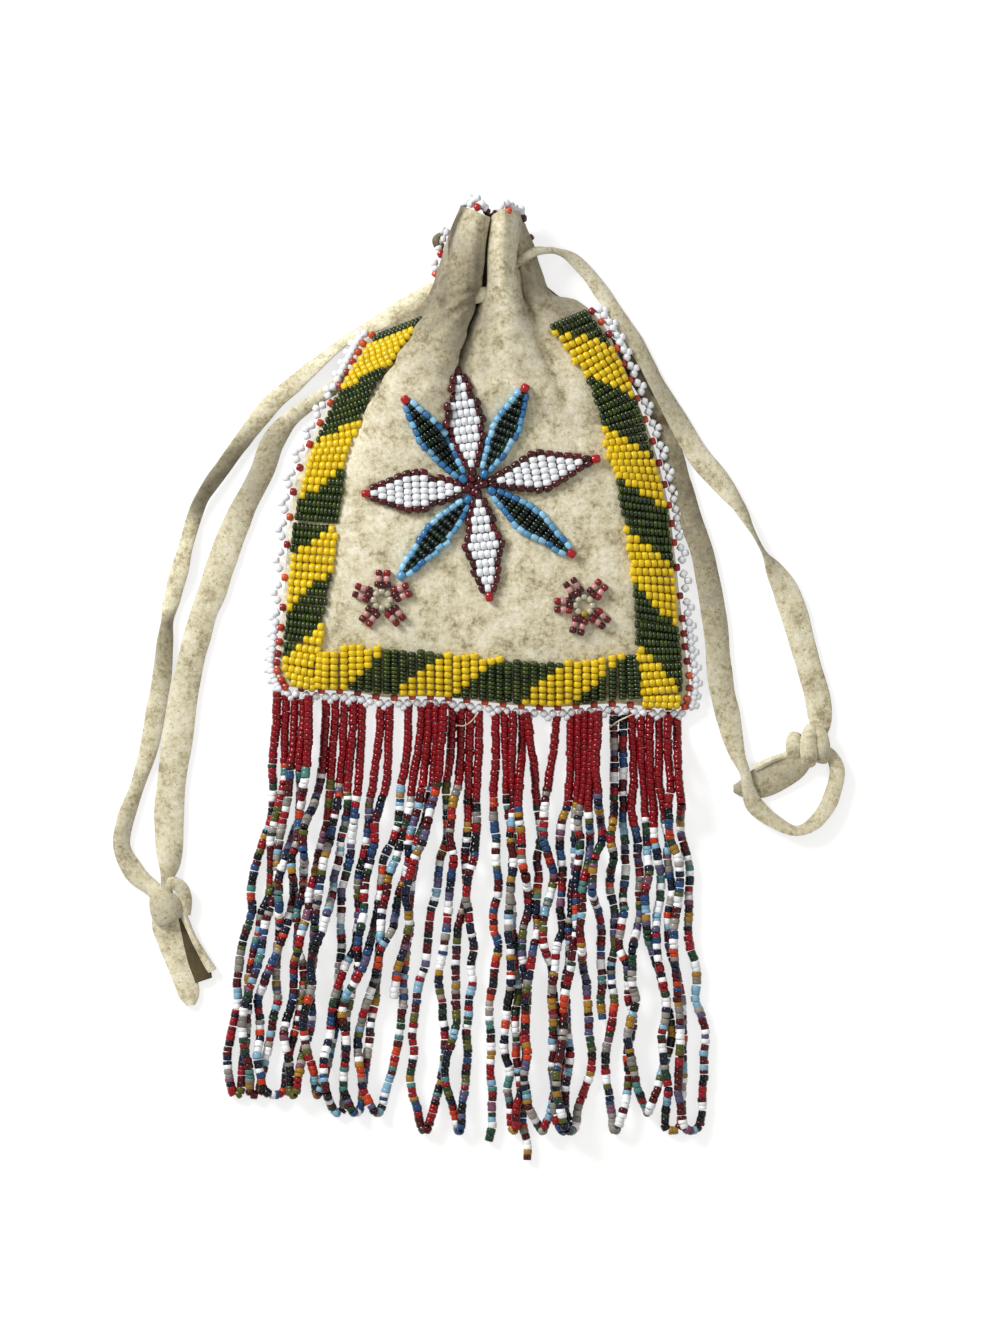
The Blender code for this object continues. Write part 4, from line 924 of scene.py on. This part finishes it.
# Strung beads of clear and dark glass: their colour shows deep, with small bright lights
fringe_glass = bead_glass("fringe_seed_beads", 0.16, 0.34)
# Shares of each colour in the lower part: white, reds, blues, dark ones, greens, orange, rarer ones
MIXED = (["#F2F3F5"] * 7 + ["#8A0C16"] * 6 + ["#4A060C"] * 9 + ["#7FAAC2"] * 3 + ["#23446E"] * 4
         + ["#10182E"] * 5 + ["#0C0C10"] * 5 + ["#1E3A26"] * 3 + ["#55561F"] * 2 + ["#B83A18"] * 2
         + ["#9C7424", "#565070", "#807B74"] * 2 + ["#744A5E", "#4A7A76", "#9A938C", "#9A938C"])
fringe_top = min(p.y for p in bottom_edge) - 2.1 * MM
laid = []


def strand_line(top_x, tip_x, tip_y, number, bulge=0.0, meet_x=None):
    """Strand in plan: it closes up to its partner, drifts to its tip, sways and bulges low down."""
    meet_x = top_x if meet_x is None else meet_x
    count = round((fringe_top - tip_y) / FRINGE_STEP)
    line = []
    for index in range(count + 1):
        y = fringe_top - index * FRINGE_STEP
        t = index / count
        kink = noise.noise(Vector((number * 5.3, y * 55, 0.0)))
        kink += 0.5 * noise.noise(Vector((number * 7.9, y * 130, 4.0)))
        sway = FRINGE_SWAY * 2 * kink * min(3 * t, 1.0)
        out = bulge * math.sin(math.pi * min(max((t - 0.5) / 0.5, 0.0), 1.0) ** 1.4)
        x = top_x + (meet_x - top_x) * min((fringe_top - y) / FRINGE_MEET, 1.0)
        line.append(Vector((x + (tip_x - meet_x) * ease(t) ** 0.9 + sway + out, y, 0.0)))
    return line


def lay(line):
    """Height of a strand, so that it clears the strands laid before it all along."""
    parts = 3
    needed = [[FRINGE_BEAD * 0.6] * (parts + 1) for _ in line[1:]]
    for index in range(len(line) - 1):
        for part in range(parts + 1):
            t = part / parts
            x = line[index].x + (line[index + 1].x - line[index].x) * t
            for other in laid:
                if index + 1 >= len(other):
                    continue
                gap = abs(x - (other[index].x + (other[index + 1].x - other[index].x) * t))
                if gap < FRINGE_BEAD:
                    other_z = other[index].z + (other[index + 1].z - other[index].z) * t
                    top = other_z + math.sqrt(FRINGE_BEAD**2 - gap**2)
                    needed[index][part] = max(needed[index][part], top)
    for index, point in enumerate(line):
        point.z = max(needed[max(index - 1, 0)] + needed[min(index, len(needed) - 1)])
    laid.append(line)
    return line


def hem(line):
    """Top of a strand where the hide's bottom edge is."""
    x = line[0].x
    across = (x - left_seam[0].x) / (right_seam[0].x - left_seam[0].x)
    return Vector((x, panel_place(0, across).y - SEAT, line[0].z))


def string_up(beads, path, red_from_top, red_from_end):
    """Bead after bead along a path, red near the hem. Returns the thread's line."""
    last = len(path) - 1
    fine = [smooth_point(path, step / 24) for step in range(last * 24 + 1)]
    total = run_length(fine)
    walked, due, thread = 0.0, 2.2 * MM, [fine[0]]
    colour, left = FRINGE_RED, 0
    for a, b in zip(fine, fine[1:]):
        step = (b - a).length
        while due <= walked + step and step > 0 and (due < total - 2 * MM or not red_from_end):
            here = a.lerp(b, (due - walked) / step)
            red = due < red_from_top or (red_from_end and total - due < red_from_end)
            if red:
                colour = FRINGE_RED
            elif left <= 0:
                colour, left = beads.chance.choice(MIXED), beads.chance.choice((1, 1, 1, 1, 2, 2))
            left -= 1
            length = FRINGE_LENGTH * beads.chance.uniform(*((0.9, 1.08) if red else (0.65, 1.2)))
            wobble = Vector((beads.chance.uniform(-0.12, 0.12) * MM, 0, 0))
            thick = FRINGE_BEAD * beads.chance.uniform(0.98, 1.12)
            beads.add(here + wobble, b - a, length * 1.03, thick, colour, 0.15)
            thread.append(here)
            due += length
        walked += step
    return thread


counts = {"loop": 0, "strand": 0}
for strand, (first, *rest, tip_x, tip_y) in enumerate(sorted(FRINGE_LOOPS + FRINGE_SINGLES)):
    kind = "loop" if rest else "strand"
    counts[kind] += 1
    half = FRINGE_BEAD * 0.55 if rest else 0.0
    bulge = (1.2 + strand * 7 % 5 * 0.75) * MM if rest else 0.0
    middle = (first + rest[0]) / 2 * MM if rest else first * MM
    path = lay(strand_line(first * MM, tip_x * MM - half, tip_y * MM, strand, -bulge, middle - half))
    path = [hem(path)] + path
    if rest:
        up = lay(strand_line(rest[0] * MM, tip_x * MM + half, tip_y * MM, strand + 0.5, bulge,
                             middle + half))
        path = path + [(path[-1] + up[-1]) / 2 - Vector((0, half, 0))] + up[::-1] + [hem(up)]
    beads = Beadwork(100 + strand, 1.0)
    # The red grows from about 22 mm at the left to 27 mm at the right
    red = RED_RUNS.get(first, 20.5 + 0.045 * (first + 58) + beads.chance.uniform(0, 3.5)) * MM
    thread = string_up(beads, path, red, red * beads.chance.uniform(0.9, 1.2) if rest else 0)
    node = f"fringe_{kind}_{counts[kind]:02d}"
    made = beads.finish(node + "_beads", fringe_glass, [node])

# Two ends of the sewing thread stick out of the bottom seam and lie on the strands
THREADS = {
    "loose_thread_left": [(-1.6, -53.8, 3.6), (-3.4, -56.2, 4.0), (-5.6, -57.6, 3.8),
                          (-7.6, -57.4, 3.4)],
    "loose_thread_right": [(42.0, -54.2, 3.6), (39.8, -55.2, 4.0), (37.4, -56.4, 3.8),
                           (35.2, -58.0, 3.4)],
}
THREAD = 0.4 * MM
for thread_name, points in THREADS.items():
    points = metres(points)
    line = [smooth_point(points, 3 * step / 24) for step in range(25)]
    fibre = Beadwork(60)
    for a, b in zip(line, line[1:]):
        fibre.add((a + b) / 2, b - a, (b - a).length * 1.3, THREAD, "#CDC3A8")
    fibre.finish(thread_name, thong_skin, ["picots_bottom"])
